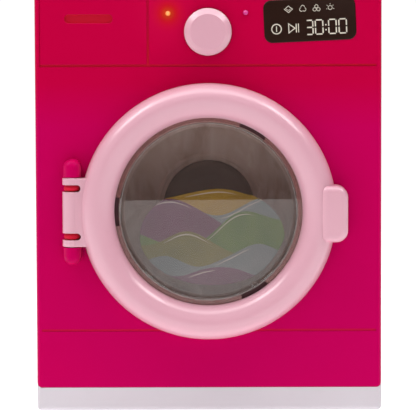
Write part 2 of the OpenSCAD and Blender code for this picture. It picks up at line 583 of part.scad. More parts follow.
// return spring: a round wire swept along a helix between the board and the plunger's flange
spring_r = 5.7; wire_r = 0.32; turns = 5; seg = 14; ws = 6;
spring_y0 = -47.4 + wire_r + 0.02; spring_y1 = -39.5 - wire_r - 0.02;
module knob_spring() color(steel) {
  n = turns * seg;
  pts = [for (i = [0 : n]) let (a = 360 * i / seg, y = spring_y0 + (spring_y1 - spring_y0) * i / n)
         for (j = [0 : ws - 1]) let (b = 360 * j / ws, r = spring_r + wire_r * cos(b))
         [r * cos(a), y + wire_r * sin(b), knob_z + r * sin(a)]];
  polyhedron(points = pts, faces = concat(
    [[for (j = [ws - 1 : -1 : 0]) j]], [[for (j = [0 : ws - 1]) n * ws + j]],
    [for (i = [0 : n - 1], j = [0 : ws - 1]) let (k = (j + 1) % ws) [i * ws + j, i * ws + k, (i + 1) * ws + k]],
    [for (i = [0 : n - 1], j = [0 : ws - 1]) let (k = (j + 1) % ws) [i * ws + j, (i + 1) * ws + k, (i + 1) * ws + j]]));
}

module lamp(p) {
  ycyl(p[0], p[1], yf - 0.2, yf + 3.8, lamp_r);
  translate([p[0], yf - 0.2, p[1]]) sphere(r = lamp_r);
  ycyl(p[0], p[1], yf + 2.9, yf + 3.8, 1.9);
  for (s = [-1, 1]) ycyl(p[0] + s * 0.9, p[1], yf + 3.7, -39.5, 0.28);
}
module lamp_left() color([1.0, 0.55, 0.25]) lamp(lamp_pos[0]);
module lamp_right() color([0.90, 0.30, 0.60]) lamp(lamp_pos[1]);

module display_panel() color([0.05, 0.04, 0.04]) translate([display_c[0], 0, display_c[1]]) rotate([0, -display_tilt, 0])
  yext(yf - 0.2, yf + 1.0) rrect(52.9, 24.4, 4.6);

module drawer_front() color(crimson) difference() {
  union() {
    intersection() {
      cabinet(yf - 1, yf + t);
      box(-96.9, -34.6 - groove_w / 2, yf - 1, yf + groove_d - 0.1, groove_top + groove_w / 2, 246.4);
    }
    box(-94.9, -36.8, yf + groove_d - 0.2, yf + t, 202.3, 244.4);
    box(-86, -51, yf + 1, yf + 4.2, 221, 233);
  }
  yext(yf - 1, yf + 1.5) translate([-68.8, 227]) rrect(27.8, 5.1, 2.4);
}

module drawer_tray() color(palegrey) difference() {
  box(-93.2, -39.8, yf + t, -10, 203.2, 236);
  box(-91.6, -66.8, yf + t + 1.6, -11.6, 204.8, 237);
  box(-65.2, -41.4, yf + t + 1.6, -11.6, 204.8, 237);
  box(-86.1, -50.9, yf + 1, yf + 4.3, 220.9, 237);
}

module drawer_housing() color(drumgrey) difference() {
  box(-95.1, -37.9, yf + t + 0.1, -6.6, 201.3, 238.4);
  box(-93.6, -39.4, yf, -8, 202.8, 236.9);
}

// ---------- power, sound ----------
module loudspeaker() color([0.12, 0.12, 0.13]) yrev(speaker_c[0], speaker_c[1])
  polygon([[0, -53.4], [8, -53.4], [15.4, -57.0], [18, -57.0], [18, -55.5], [15.6, -55.5], [12.5, -51], [9, -51], [9, -46], [0, -46]]);

module speaker_screws() color(steel) for (s = [-1, 1]) mirror([0, 1, 0]) difference() {
  union() {
    ycyl(speaker_c[0] + s * 22.5, speaker_c[1], -55.5, -54.3, 5.1);
    ycyl(speaker_c[0] + s * 22.5, speaker_c[1], -58.6, -55.4, 1.2);
  }
  for (a = [45, 135]) translate([speaker_c[0] + s * 22.5, 0, speaker_c[1]]) rotate([0, a, 0]) box(-1.6, 1.6, -54.8, -54, -0.35, 0.35);
}

module switch_body() color([0.15, 0.15, 0.16]) difference() {
  box(switch_c[0] - 10, switch_c[0] + 10, 50.5, yb - t, switch_c[1] - 4, switch_c[1] + 4);
  box(switch_c[0] - 8.5, switch_c[0] + 8.5, 52.2, yb, switch_c[1] - 2.6, switch_c[1] + 2.6);
}
module switch_slider() color([0.10, 0.10, 0.11]) union() {
  box(switch_c[0] - 6.7, switch_c[0] + 1.3, 52.5, 55.5, switch_c[1] - 2.35, switch_c[1] + 2.35);
  box(switch_c[0] - 5.2, switch_c[0] - 0.2, 55, yb - 0.1, switch_c[1] - 1.9, switch_c[1] + 1.9);
}

module battery_cover() color(crimson) difference() {
  box(-82.75, -31.25, yb - 1.95, yb - 0.05, 30.75, 96.75);
  ycyl(-57, 94, yb - 3, yb + 1, 1.6);
  ycyl(-57, 94, yb - 1.1, yb + 1, 3.0);
  for (i = [0 : 4]) box(-65, -49, yb - 0.7, yb + 1, 38 + 2.4 * i, 39.2 + 2.4 * i);
}
module battery_cover_screw() color(steel) screw_y(-57, 94, yb - 1.1, 7.6, 2.7, 1.0, 1.2);

module battery_cells() color([0.20, 0.30, 0.45]) for (i = [0 : 2]) {
  zcyl(cell_x[i], cell_y, i == 1 ? cell_z + 1 : cell_z, (i == 1 ? cell_z + 1 : cell_z) + cell_l, cell_r);
  if (i == 1) zcyl(cell_x[i], cell_y, cell_z, cell_z + 1.1, 2.7);
  else zcyl(cell_x[i], cell_y, cell_z + cell_l - 0.1, cell_z + cell_l + 1, 2.7);
}
module battery_contacts() color(steel) for (i = [0 : 2]) {
  box(cell_x[i] - 5.5, cell_x[i] + 5.5, cell_y - 5, cell_y + 5, 34, 34.5);
  box(cell_x[i] - 5.5, cell_x[i] + 5.5, cell_y - 5, cell_y + 5, 88.5, 89);
  // coiled spring on the flat end of each cell, shown as close turns
  for (k = [0 : 2]) translate([cell_x[i], cell_y, i == 1 ? 88.3 - 0.2 * k : 34.7 + 0.65 * k])
    rotate_extrude() translate([4.2 - 0.4 * k, 0]) circle(r = i == 1 ? 0.2 : 0.35);
}

base_plinth();
top_cover();
front_shell();
rear_shell();
shell_screws();
base_screws();
door_front_ring();
door_back_ring();
door_window();
translate([0, -56.9, 0]) door_print_film();
door_handle();
door_screws();
inner_tub();
tub_screws();
drum();
drum_hub_cap();
drum_shaft();
drum_bush();
shaft_clip();
drum_gear();
idler_gear();
idler_axle();
motor_pinion();
motor();
motor_cradle();
gear_plate();
gear_plate_screws();
motor_screws();
control_board();
sound_chip();
board_screws();
push_switch();
knob_cap();
knob_plunger();
knob_spring();
lamp_left();
lamp_right();
display_panel();
drawer_front();
drawer_tray();
drawer_housing();
loudspeaker();
speaker_screws();
switch_body();
switch_slider();
battery_cover();
battery_cover_screw();
battery_cells();
battery_contacts();
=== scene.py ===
import json
import math

import bmesh
import bpy
from mathutils import Matrix, Vector


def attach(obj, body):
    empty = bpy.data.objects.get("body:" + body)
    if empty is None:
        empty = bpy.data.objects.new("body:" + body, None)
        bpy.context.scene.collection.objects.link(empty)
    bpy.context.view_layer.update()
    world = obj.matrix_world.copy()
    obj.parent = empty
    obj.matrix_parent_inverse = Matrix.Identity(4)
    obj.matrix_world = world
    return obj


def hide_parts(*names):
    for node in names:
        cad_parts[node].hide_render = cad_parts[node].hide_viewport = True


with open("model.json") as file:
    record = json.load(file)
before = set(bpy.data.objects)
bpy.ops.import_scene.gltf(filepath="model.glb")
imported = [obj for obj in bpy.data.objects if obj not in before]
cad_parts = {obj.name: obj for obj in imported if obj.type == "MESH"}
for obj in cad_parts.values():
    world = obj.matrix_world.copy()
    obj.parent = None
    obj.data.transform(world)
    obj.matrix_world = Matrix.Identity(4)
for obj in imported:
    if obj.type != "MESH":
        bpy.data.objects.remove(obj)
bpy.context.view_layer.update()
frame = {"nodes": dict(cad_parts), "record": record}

sc = bpy.context.scene
NODES = frame["nodes"]
MM = 0.001

# ------------------------------------------------------------------ shared measures, in millimetres, as in the frame
DZ = 116.0            # door and drum axis
YF = -60.0            # front plane of the cabinet
RO, RC, RI = 73.9, 65.0, 54.1
HB = 60.4
H_OUT = HB + 5
HX, HY = -78.5, -66.0
KNOB_Z = 219.4
LAMPS = ((-23.0, 230.0), (21.7, 230.3))
DISP = (58.6, 226.0)
TILT = math.radians(2.5)


# ------------------------------------------------------------------ camera
def look(loc, yaw, pitch, roll, lens):
    cam = bpy.data.objects.new("camera", bpy.data.cameras.new("camera"))
    sc.collection.objects.link(cam)
    s, c = math.sin(yaw), math.cos(yaw)
    fwd = Vector((s * math.cos(pitch), c * math.cos(pitch), -math.sin(pitch)))
    right = Vector((c, -s, 0.0))
    up = right.cross(fwd)
    r2 = right * math.cos(roll) + up * math.sin(roll)
    u2 = up * math.cos(roll) - right * math.sin(roll)
    m = Matrix((r2, u2, -fwd)).transposed().to_4x4()
    m.translation = Vector(loc)
    cam.matrix_world = m
    cam.data.lens = lens
    cam.data.sensor_width = 36
    cam.data.clip_start, cam.data.clip_end = 0.05, 20
    sc.camera = cam
    return cam


camera = look((0.010, -1.560, 0.225), math.radians(-0.38), math.radians(4.09), math.radians(-0.20), 2601.3 / 416 * 36)
camera.data.shift_x = -0.65 / 416


# ------------------------------------------------------------------ small helpers for meshes
def link(name, bm, mat=None, smooth=True):
    bmesh.ops.recalc_face_normals(bm, faces=bm.faces)
    me = bpy.data.meshes.new(name)
    bm.to_mesh(me)
    bm.free()
    me.polygons.foreach_set("use_smooth", [smooth] * len(me.polygons))
    o = bpy.data.objects.new(name, me)
    sc.collection.objects.link(o)
    if mat:
        me.materials.append(mat)
    return o


def lathe_bm(profile, x0=0.0, z0=0.0, seg=192, closed=True):
    """Turns [radius, y] points, in mm, about the Y axis through (x0, z0)."""
    bm = bmesh.new()
    rings = []
    for r, y in profile:
        if r < 1e-6:
            rings.append([bm.verts.new((x0 * MM, y * MM, z0 * MM))])
        else:
            rings.append([bm.verts.new(((x0 + r * math.cos(2 * math.pi * i / seg)) * MM, y * MM,
                                        (z0 + r * math.sin(2 * math.pi * i / seg)) * MM)) for i in range(seg)])
    n = len(rings)
    for k in range(n if closed else n - 1):
        a, b = rings[k], rings[(k + 1) % n]
        if len(a) == 1 and len(b) == 1:
            continue
        for i in range(seg):
            j = (i + 1) % seg
            if len(a) == 1:
                bm.faces.new((a[0], b[i], b[j]))
            elif len(b) == 1:
                bm.faces.new((a[i], b[0], a[j]))
            else:
                bm.faces.new((a[i], b[i], b[j], a[j]))
    return bm


def fillet(points, radii, n=5):
    """Rounds the corners of an open or closed polyline of (r, y) points; radii holds one radius a point."""
    out = []
    m = len(points)
    for i, (p, rad) in enumerate(zip(points, radii)):
        if rad <= 0:
            out.append(p)
            continue
        a, b, c = Vector(points[i - 1]), Vector(p), Vector(points[(i + 1) % m])
        u, v = (a - b), (c - b)
        lu, lv = u.length, v.length
        u.normalize(), v.normalize()
        ang = math.acos(max(-1, min(1, u.dot(v))))
        if ang > math.pi - 0.02:
            out.append(p)
            continue
        d = min(rad / math.tan(ang / 2), lu * 0.48, lv * 0.48)
        r = d * math.tan(ang / 2)
        cen = b + (u + v).normalized() * (r / math.sin(ang / 2))
        s, e = b + u * d - cen, b + v * d - cen
        sweep = math.atan2(s.x * e.y - s.y * e.x, s.dot(e))
        for k in range(n + 1):
            t = sweep * k / n
            out.append((cen.x + s.x * math.cos(t) - s.y * math.sin(t), cen.y + s.x * math.sin(t) + s.y * math.cos(t)))
    return out


def rr_loop(w, h, radii, n=8):
    """Rounded rectangle outline about the origin; radii are for the corners right-top, left-top, left-bottom, right-bottom."""
    pts = []
    for (sx, sz), r, a0 in zip(((1, 1), (-1, 1), (-1, -1), (1, -1)), radii, (0, 90, 180, 270)):
        r = max(0.02, r)
        cx, cz = sx * (w / 2 - r), sz * (h / 2 - r)
        for k in range(n + 1):
            a = math.radians(a0 + 90 * k / n)
            pts.append((cx + r * math.cos(a), cz + r * math.sin(a)))
    return pts


def prism_bm(loops):
    """Joins a stack of equal-length closed loops of 3-D points, in mm, and closes both ends."""
    bm = bmesh.new()
    rings = [[bm.verts.new(Vector(p) * MM) for p in loop] for loop in loops]
    n = len(rings[0])
    for a, b in zip(rings, rings[1:]):
        for i in range(n):
            j = (i + 1) % n
            bm.faces.new((a[i], a[j], b[j], b[i]))
    bm.faces.new(list(reversed(rings[0])))
    bm.faces.new(rings[-1])
    return bm


def block_bm(cx, cz, w, h, radii, y_back, y_front, er=1.0, n=4, back_r=0.0, rot=0.0):
    """A block with a rounded-rectangle outline in XZ, and rounded front (-Y) and back edges."""
    loops = []

    def loop(y, inset):
        pts = rr_loop(w - 2 * inset, h - 2 * inset, [max(0.05, r - inset) for r in radii])
        c, s = math.cos(rot), math.sin(rot)
        loops.append([(cx + x * c - z * s, y, cz + x * s + z * c) for x, z in pts])

    if back_r > 0:
        for k in range(n + 1):
            t = math.radians(90 * k / n)
            loop(y_back - back_r * (1 - math.cos(t)), back_r * (1 - math.sin(t)))
    else:
        loop(y_back, 0)
    for k in range(n + 1):
        t = math.radians(90 * k / n)
        loop(y_front + er * (1 - math.sin(t)), er * (1 - math.cos(t)))
    return prism_bm(loops)


def cyl_bm(axis, c, r, a0, a1, seg=64, er=0.0, n=3):
    """Cylinder along 'y' or 'z' with rounded ends; c is the centre in the other two coordinates."""
    prof = []
    if er > 0:
        prof += [(0, a0)] + [(r - er + er * math.sin(math.radians(90 * k / n)), a0 + er - er * math.cos(math.radians(90 * k / n))) for k in range(n + 1)]
        prof += [(r - er + er * math.cos(math.radians(90 * k / n)), a1 - er + er * math.sin(math.radians(90 * k / n))) for k in range(n + 1)] + [(0, a1)]
    else:
        prof = [(0, a0), (r, a0), (r, a1), (0, a1)]
    bm = lathe_bm(prof, 0, 0, seg, closed=False)
    if axis == "y":
        bmesh.ops.translate(bm, verts=bm.verts, vec=(c[0] * MM, 0, c[1] * MM))
    elif axis == "z":
        bmesh.ops.rotate(bm, verts=bm.verts, cent=(0, 0, 0), matrix=Matrix.Rotation(math.radians(90), 3, "X"))
        bmesh.ops.translate(bm, verts=bm.verts, vec=(c[0] * MM, c[1] * MM, 0))
    return bm


def boolean(a, others, op="DIFFERENCE", solver="MANIFOLD"):
    """Applies booleans of bmesh cutters to object a and removes the cutters."""
    tmp = []
    for i, b in enumerate(others):
        o = link(f"tmp_{a.name}_{i}", b)
        tmp.append(o)
        m = a.modifiers.new("b", "BOOLEAN")
        m.operation, m.object = op, o
        m.solver = solver
    bpy.context.view_layer.update()
    dg = bpy.context.evaluated_depsgraph_get()
    me = bpy.data.meshes.new_from_object(a.evaluated_get(dg), preserve_all_data_layers=False, depsgraph=dg)
    old = a.data
    mats = list(old.materials)
    a.modifiers.clear()
    a.data = me
    me.name = a.name
    if not me.materials:
        for mt in mats:
            me.materials.append(mt)
    for o in tmp:
        d = o.data
        bpy.data.objects.remove(o)
        bpy.data.meshes.remove(d)
    return a


def mark_sharp(o, angle=35):
    """Splits the shading at edges sharper than the angle."""
    bm = bmesh.new()
    bm.from_mesh(o.data)
    lim = math.radians(angle)
    for e in bm.edges:
        e.smooth = not (len(e.link_faces) == 2 and e.calc_face_angle(0) > lim)
    for f in bm.faces:
        f.smooth = True
    bm.to_mesh(o.data)
    bm.free()
    w = o.modifiers.new("normals", "WEIGHTED_NORMAL")
    w.keep_sharp = True
    w.weight = 60
    return o


def put(o, body, slot, *replaced):
    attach(o, body)
    if replaced:
        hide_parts(*replaced)
    return o


# ------------------------------------------------------------------ materials
class Mat:
    """A Principled material with a few shared ways of adding procedural detail."""

    def __init__(self, name, base, rough=0.35, spec=0.5, coat=0.0, metallic=0.0):
        self.m = bpy.data.materials.new(name)
        self.m.use_nodes = True
        self.nt = self.m.node_tree
        self.b = self.nt.nodes["Principled BSDF"]
        self.b.inputs["Base Color"].default_value = base
        self.b.inputs["Roughness"].default_value = rough
        self.b.inputs["Specular IOR Level"].default_value = spec
        self.b.inputs["Coat Weight"].default_value = coat
        self.b.inputs["Metallic"].default_value = metallic
        self.base = base
        self.rough = rough
        tc = self.nt.nodes.new("ShaderNodeTexCoord")
        self.co = tc.outputs["Object"]

    def node(self, kind, **kw):
        n = self.nt.nodes.new(kind)
        for k, v in kw.items():
            if k in n.inputs:
                n.inputs[k].default_value = v
            else:
                setattr(n, k, v)
        return n

    def wire(self, a, b):
        self.nt.links.new(a, b)

    def noise(self, scale, detail=4, rough=0.55, stretch=None, distortion=0.0):
        n = self.node("ShaderNodeTexNoise")
        n.inputs["Scale"].default_value = scale
        n.inputs["Detail"].default_value = detail
        n.inputs["Roughness"].default_value = rough
        n.inputs["Distortion"].default_value = distortion
        co = self.co
        if stretch:
            mp = self.node("ShaderNodeMapping")
            mp.inputs["Scale"].default_value = stretch
            self.wire(co, mp.inputs["Vector"])
            co = mp.outputs["Vector"]
        self.wire(co, n.inputs["Vector"])
        return n.outputs["Fac"]

    def ramp(self, fac, stops):
        r = self.node("ShaderNodeValToRGB")
        e = r.color_ramp.elements
        while len(e) < len(stops):
            e.new(0.5)
        for el, (p, c) in zip(e, stops):
            el.position = p
            el.color = c
        self.wire(fac, r.inputs["Fac"])
        return r.outputs["Color"]

    def map(self, fac, lo, hi, a=0.0, b=1.0):
        r = self.node("ShaderNodeMapRange")
        r.inputs["From Min"].default_value, r.inputs["From Max"].default_value = a, b
        r.inputs["To Min"].default_value, r.inputs["To Max"].default_value = lo, hi
        self.wire(fac, r.inputs["Value"])
        return r.outputs["Result"]

    def mix(self, fac, a, b, mode="MIX"):
        n = self.node("ShaderNodeMix", data_type="RGBA", blend_type=mode)
        for sock, v in ((n.inputs[0], fac), (n.inputs[6], a), (n.inputs[7], b)):
            if hasattr(v, "is_output"):
                self.wire(v, sock)
            else:
                sock.default_value = v
        return n.outputs[2]

    def color_noise(self, other, scale=9, lo=0.35, hi=0.68, amount=1.0, fine=None):
        """Blends the base colour towards another one in soft patches."""
        f = self.map(self.noise(scale, 3), 0.0, amount, lo, hi)
        c = self.mix(f, self.base, other)
        if fine:
            g = self.map(self.noise(fine[0], 2), 0.0, fine[1], 0.4, 0.7)
            c = self.mix(g, c, fine[2])
        self.wire(c, self.b.inputs["Base Color"])
        return c

    def rough_noise(self, lo, hi, scale=22, detail=5, stretch=None):
        self.wire(self.map(self.noise(scale, detail, stretch=stretch), lo, hi, 0.18, 0.82), self.b.inputs["Roughness"])

    def axis(self, k):
        """One of the part's own coordinates, in metres."""
        n = self.node("ShaderNodeSeparateXYZ")
        self.wire(self.co, n.inputs[0])
        return n.outputs[k]

    def near(self, x, z, axes=(1, 0, 1)):
        """Distance in metres from the line through (x, z) along Y; x and z are in millimetres."""
        a = self.node("ShaderNodeVectorMath", operation="SUBTRACT")
        self.wire(self.co, a.inputs[0])
        a.inputs[1].default_value = (x * MM, 0, z * MM)
        f = self.node("ShaderNodeVectorMath", operation="MULTIPLY")
        self.wire(a.outputs[0], f.inputs[0])
        f.inputs[1].default_value = axes
        n = self.node("ShaderNodeVectorMath", operation="LENGTH")
        self.wire(f.outputs[0], n.inputs[0])
        return n.outputs["Value"]

    def times(self, a, b):
        n = self.node("ShaderNodeMath", operation="MULTIPLY")
        self.wire(a, n.inputs[0])
        self.wire(b, n.inputs[1])
        return n.outputs[0]

    def bump(self, layers, dist=0.0001):
        """layers: (noise output or factor, strength) pairs added up as height."""
        h = None
        for fac, s in layers:
            n = self.node("ShaderNodeMath", operation="MULTIPLY")
            self.wire(fac, n.inputs[0])
            n.inputs[1].default_value = s
            if h is None:
                h = n.outputs[0]
            else:
                a = self.node("ShaderNodeMath", operation="ADD")
                self.wire(h, a.inputs[0])
                self.wire(n.outputs[0], a.inputs[1])
                h = a.outputs[0]
        bp = self.node("ShaderNodeBump")
        bp.inputs["Strength"].default_value = 1.0
        bp.inputs["Distance"].default_value = dist
        self.wire(h, bp.inputs["Height"])
        self.wire(bp.outputs["Normal"], self.b.inputs["Normal"])


def plastic(name, base, other, rough=(0.28, 0.40), spec=0.5, grain=0.00002, patch=9, coat=0.0, amount=1.0):
    """Moulded plastic: soft colour patches, uneven gloss with faint flow marks, and a very fine skin texture."""
    m = Mat(name, base, rough[0], spec, coat)
    m.color_noise(other, patch, amount=amount)
    m.rough_noise(rough[0], rough[1], 26, 6)
    m.bump([(m.noise(900, 2), 0.6), (m.noise(38, 4), 1.0)], grain)
    return m


M = {}
m = Mat("cabinet_crimson", (0.545, 0.0004, 0.085, 1), 0.30, 0.17)
m.b.inputs["Specular Tint"].default_value = (1.0, 0.05, 0.70, 1)
patch = m.map(m.noise(7.0, 2), 0.0, 1.0, 0.22, 0.78)
c = m.mix(patch, (0.508, 0.0004, 0.076, 1), (0.501, 0.0004, 0.088, 1))
speck = m.map(m.noise(420, 2), 0.0, 0.10, 0.55, 0.75)
c = m.mix(speck, c, (0.49, 0.0004, 0.060, 1))
# painted light and shade: redder towards the top and around the lit lamp is painted lamp glow; the orange-red inside
# the shallow grooves is painted shade
top = m.map(m.axis(2), 0.0, 1.0, 0.164, 0.190)
c = m.mix(top, c, (0.500, 0.0004, 0.042, 1))
# painted shade: an orange-red tint on faces set back behind the front plane, in the grooves and recesses, away from the
# side edges
groove_shade = m.times(m.map(m.axis(1), 0.0, 1.0, -0.05990, -0.05945), m.map(m.axis(1), 1.0, 0.0, -0.0580, -0.0572))
side = m.node("ShaderNodeMath", operation="ABSOLUTE")
m.wire(m.axis(0), side.inputs[0])
groove_shade = m.times(groove_shade, m.map(side.outputs[0], 1.0, 0.0, 0.0972, 0.0980))
c = m.mix(groove_shade, c, (0.58, 0.011, 0.030, 1))
# painted shade: an orange-red tint over the guide leaves and what is seen behind them in the hinge slots
slot_shade = None
for zz in (DZ + 13.85, DZ - 13.95):
    off = m.node("ShaderNodeMath", operation="SUBTRACT")
    m.wire(m.axis(2), off.inputs[0])
    off.inputs[1].default_value = zz * MM
    dist = m.node("ShaderNodeMath", operation="ABSOLUTE")
    m.wire(off.outputs[0], dist.inputs[0])
    one = m.map(dist.outputs[0], 1.0, 0.0, 0.0022, 0.0024)
    if slot_shade is None:
        slot_shade = one
    else:
        both_slot_shades = m.node("ShaderNodeMath", operation="MAXIMUM")
        m.wire(slot_shade, both_slot_shades.inputs[0])
        m.wire(one, both_slot_shades.inputs[1])
        slot_shade = both_slot_shades.outputs[0]
slot_shade = m.times(slot_shade, m.times(m.map(m.axis(1), 1.0, 0.0, -0.0612, -0.0606), m.map(m.axis(0), 1.0, 0.0, -0.0715, -0.0705)))
c = m.mix(slot_shade, c, (0.62, 0.016, 0.034, 1))
# painted light: an orange lamp glow painted into the base colour around the lit lamp, on the front faces only
halo = m.near(*LAMPS[0])
painted_lamp_glow = m.ramp(m.map(halo, 0.0, 1.0, 0.0, 0.020), [(0.125, (0.50, 0.034, 0.010, 1)), (0.18, (0.52, 0.014, 0.012, 1)), (0.25, (0.53, 0.006, 0.018, 1)),
                                                (0.36, (0.53, 0.004, 0.033, 1)), (0.55, (0.53, 0.002, 0.048, 1))])
c = m.mix(m.times(m.map(halo, 1.0, 0.0, 0.006, 0.024), m.map(m.axis(1), 1.0, 0.0, -0.0560, -0.0540)), c, painted_lamp_glow)
m.wire(c, m.b.inputs["Base Color"])
m.rough_noise(0.27, 0.38, 30, 6)
m.bump([(m.noise(1100, 2), 0.5), (m.noise(34, 4), 1.2)], 0.000022)
M["cabinet_crimson"] = m.m

m = Mat("door_pink", (0.735, 0.378, 0.462, 1), 0.30, 0.42, 0.7)
m.b.inputs["Coat Roughness"].default_value = 0.19
patch = m.map(m.noise(13, 2), 0.0, 1.0, 0.20, 0.80)
c = m.mix(patch, (0.693, 0.366, 0.447, 1), (0.672, 0.349, 0.427, 1))
speck = m.map(m.noise(1500, 2), 0.0, 0.16, 0.50, 0.72)
c = m.mix(speck, c, (0.725, 0.41, 0.485, 1))
m.wire(c, m.b.inputs["Base Color"])
m.rough_noise(0.25, 0.36, 28, 6)
m.bump([(m.noise(1000, 2), 0.5), (m.noise(40, 4), 1.2)], 0.00002)
M["door_pink"] = m.m

# painted shade: the back ring gets a very dark maroon so that the window notches show deep shade behind them
m = Mat("door_maroon", (0.055, 0.013, 0.017, 1), 0.34, 0.35)
m.color_noise((0.072, 0.017, 0.022, 1), 18, fine=(320, 0.3, (0.044, 0.012, 0.015, 1)))
m.rough_noise(0.28, 0.44, 30, 6)
m.bump([(m.noise(1000, 2), 0.5), (m.noise(40, 4), 1.0)], 0.00002)
M["door_maroon"] = m.m

m = Mat("base_grey", (0.655, 0.605, 0.650, 1), 0.38, 0.45)
patch = m.map(m.noise(10, 4), 0.0, 1.0, 0.36, 0.66)
c = m.mix(patch, (0.632, 0.590, 0.632, 1), (0.604, 0.562, 0.606, 1))
scuff = m.map(m.noise(60, 5, stretch=(1, 1, 6)), 0.0, 0.5, 0.60, 0.80)
c = m.mix(scuff, c, (0.58, 0.53, 0.57, 1))
m.wire(c, m.b.inputs["Base Color"])
m.rough_noise(0.34, 0.46, 24, 6)
m.bump([(m.noise(1200, 2), 0.8), (m.noise(46, 4), 1.0)], 0.000025)
M["base_grey"] = m.m

m = Mat("drum_grey", (0.42, 0.35, 0.32, 1), 0.42, 0.4)
streak = m.noise(24, 6, 0.66, stretch=(1.5, 1, 1.1), distortion=1.6)
c = m.ramp(streak, [(0.34, (0.50, 0.335, 0.290, 1)), (0.44, (0.66, 0.485, 0.420, 1)), (0.56, (0.76, 0.585, 0.520, 1)), (0.68, (0.90, 0.745, 0.670, 1))])
fine = m.map(m.noise(130, 4, stretch=(1, 1, 0.25)), 0.0, 0.35, 0.48, 0.72)
c = m.mix(fine, c, (0.76, 0.61, 0.55, 1))
m.wire(c, m.b.inputs["Base Color"])
m.rough_noise(0.33, 0.52, 40, 6)
m.bump([(m.noise(700, 2), 0.6), (m.noise(60, 5, stretch=(2.2, 1, 0.8)), 1.0)], 0.00004)
M["drum_grey"] = m.m

M["hub_dark"] = plastic("hub_dark", (0.066, 0.055, 0.048, 1), (0.094, 0.080, 0.072, 1), (0.40, 0.55), 0.4, 0.00003, 40).m
M["black_plastic"] = plastic("black_plastic", (0.018, 0.018, 0.020, 1), (0.030, 0.030, 0.032, 1), (0.45, 0.60), 0.4, 0.00004, 60).m
M["nylon"] = plastic("nylon", (0.80, 0.785, 0.73, 1), (0.74, 0.72, 0.65, 1), (0.35, 0.48), 0.4, 0.00003, 50).m

m = Mat("steel", (0.60, 0.60, 0.62, 1), 0.28, 0.5, 0, 1.0)
m.rough_noise(0.20, 0.42, 300, 4)
m.color_noise((0.48, 0.48, 0.50, 1), 160)
m.bump([(m.noise(1500, 2), 1.0)], 0.00002)
M["steel"] = m.m
m = Mat("brass", (0.75, 0.55, 0.24, 1), 0.26, 0.5, 0, 1.0)
m.rough_noise(0.20, 0.38, 260, 4)
m.color_noise((0.58, 0.40, 0.17, 1), 140)
M["brass"] = m.m
m = Mat("board_green", (0.010, 0.115, 0.040, 1), 0.30, 0.5)
m.color_noise((0.014, 0.16, 0.060, 1), 120)
vor = m.node("ShaderNodeTexVoronoi", feature="DISTANCE_TO_EDGE", distance="MANHATTAN")
vor.inputs["Scale"].default_value = 210
m.wire(m.co, vor.inputs["Vector"])
m.bump([(m.map(vor.outputs["Distance"], 0.0, 1.0, 0.0, 0.06), 1.0)], 0.00005)
M["board_green"] = m.m
m = Mat("cell_wrap", (0.07, 0.11, 0.24, 1), 0.22, 0.5, 0.3)
m.color_noise((0.05, 0.09, 0.20, 1), 30)
m.rough_noise(0.18, 0.30, 60)
M["cell_wrap"] = m.m

# smoky clear plastic: seen through by alpha, so light passes into the drum
m = Mat("window_smoke", (0.115, 0.080, 0.070, 1), 0.02, 0.6)
m.b.inputs["IOR"].default_value = 2.6
m.b.inputs["Specular Tint"].default_value = (1.0, 0.93, 0.91, 1)
m.b.inputs["Coat Roughness"].default_value = 0.004
m.b.inputs["Coat IOR"].default_value = 2.6
patch = m.map(m.noise(26, 5), 0.0, 1.0, 0.34, 0.68)
c = m.mix(patch, (0.120, 0.068, 0.056, 1), (0.155, 0.098, 0.084, 1))
away = m.near(0, DZ)
# painted shade: a dark, more opaque ring along the step of the pane
line = m.times(m.map(away, 0.0, 1.0, 0.0504, 0.0508), m.map(away, 1.0, 0.0, 0.0514, 0.0517))
# the rim band is more opaque, as thicker plastic; its lighter pinkish tone is painted light, standing in for reflection
# at the rounded rim and pink light passing through it
rim = m.map(away, 0.0, 1.0, 0.0514, 0.0518)
c = m.mix(line, c, (0.050, 0.018, 0.016, 1))
c = m.mix(rim, c, (0.38, 0.175, 0.160, 1))
m.wire(c, m.b.inputs["Base Color"])
clear = m.node("ShaderNodeMath", operation="MAXIMUM")
m.wire(m.map(rim, 0.17, 0.44), clear.inputs[0])
m.wire(m.map(line, 0.0, 0.50), clear.inputs[1])
m.wire(clear.outputs[0], m.b.inputs["Alpha"])
m.wire(m.map(rim, 0.6, 0.14), m.b.inputs["Specular IOR Level"])
m.wire(m.map(rim, 0.34, 0.05), m.b.inputs["Coat Weight"])
m.rough_noise(0.004, 0.016, 50, 6)
m.bump([(m.noise(30, 3), 1.0)], 0.000004)
M["window_smoke"] = m.m


def clear_film():
    m = Mat("print_film", (0.30, 0.27, 0.25, 1), 0.2, 0.3)
    m.b.inputs["Alpha"].default_value = 0.03
    m.color_noise((0.24, 0.21, 0.20, 1), 40)
    m.rough_noise(0.15, 0.3, 60)
    return m.m


M["print_film"] = clear_film()


def ink(name, a, b, scale=26, stretch=(1, 1, 1)):
    """Printed ink: two close tones in soft brushed patches with a fine screen."""
    m = Mat(name, a, 0.35, 0.3)
    f = m.map(m.noise(scale, 4, stretch=stretch, distortion=0.8), 0.0, 1.0, 0.34, 0.66)
    c = m.mix(f, a, b)
    vor = m.node("ShaderNodeTexVoronoi")
    vor.inputs["Scale"].default_value = 2600
    m.wire(m.co, vor.inputs["Vector"])
    g = m.map(vor.outputs["Distance"], 0.0, 0.10, 0.25, 0.75)
    c = m.mix(g, c, tuple(v * 0.92 for v in a[:3]) + (1,))
    m.wire(c, m.b.inputs["Base Color"])
    m.rough_noise(0.30, 0.45, 90)
    return m.m


m = Mat("display_black", (0.021, 0.009, 0.006, 1), 0.10, 0.36)
m.color_noise((0.024, 0.011, 0.008, 1), 30)
m.rough_noise(0.05, 0.12, 40)
M["display_black"] = m.m
m = Mat("display_ink", (0.72, 0.66, 0.56, 1), 0.40, 0.3)
m.color_noise((0.62, 0.56, 0.47, 1), 240)
m.rough_noise(0.35, 0.5, 200)
M["display_ink"] = m.m

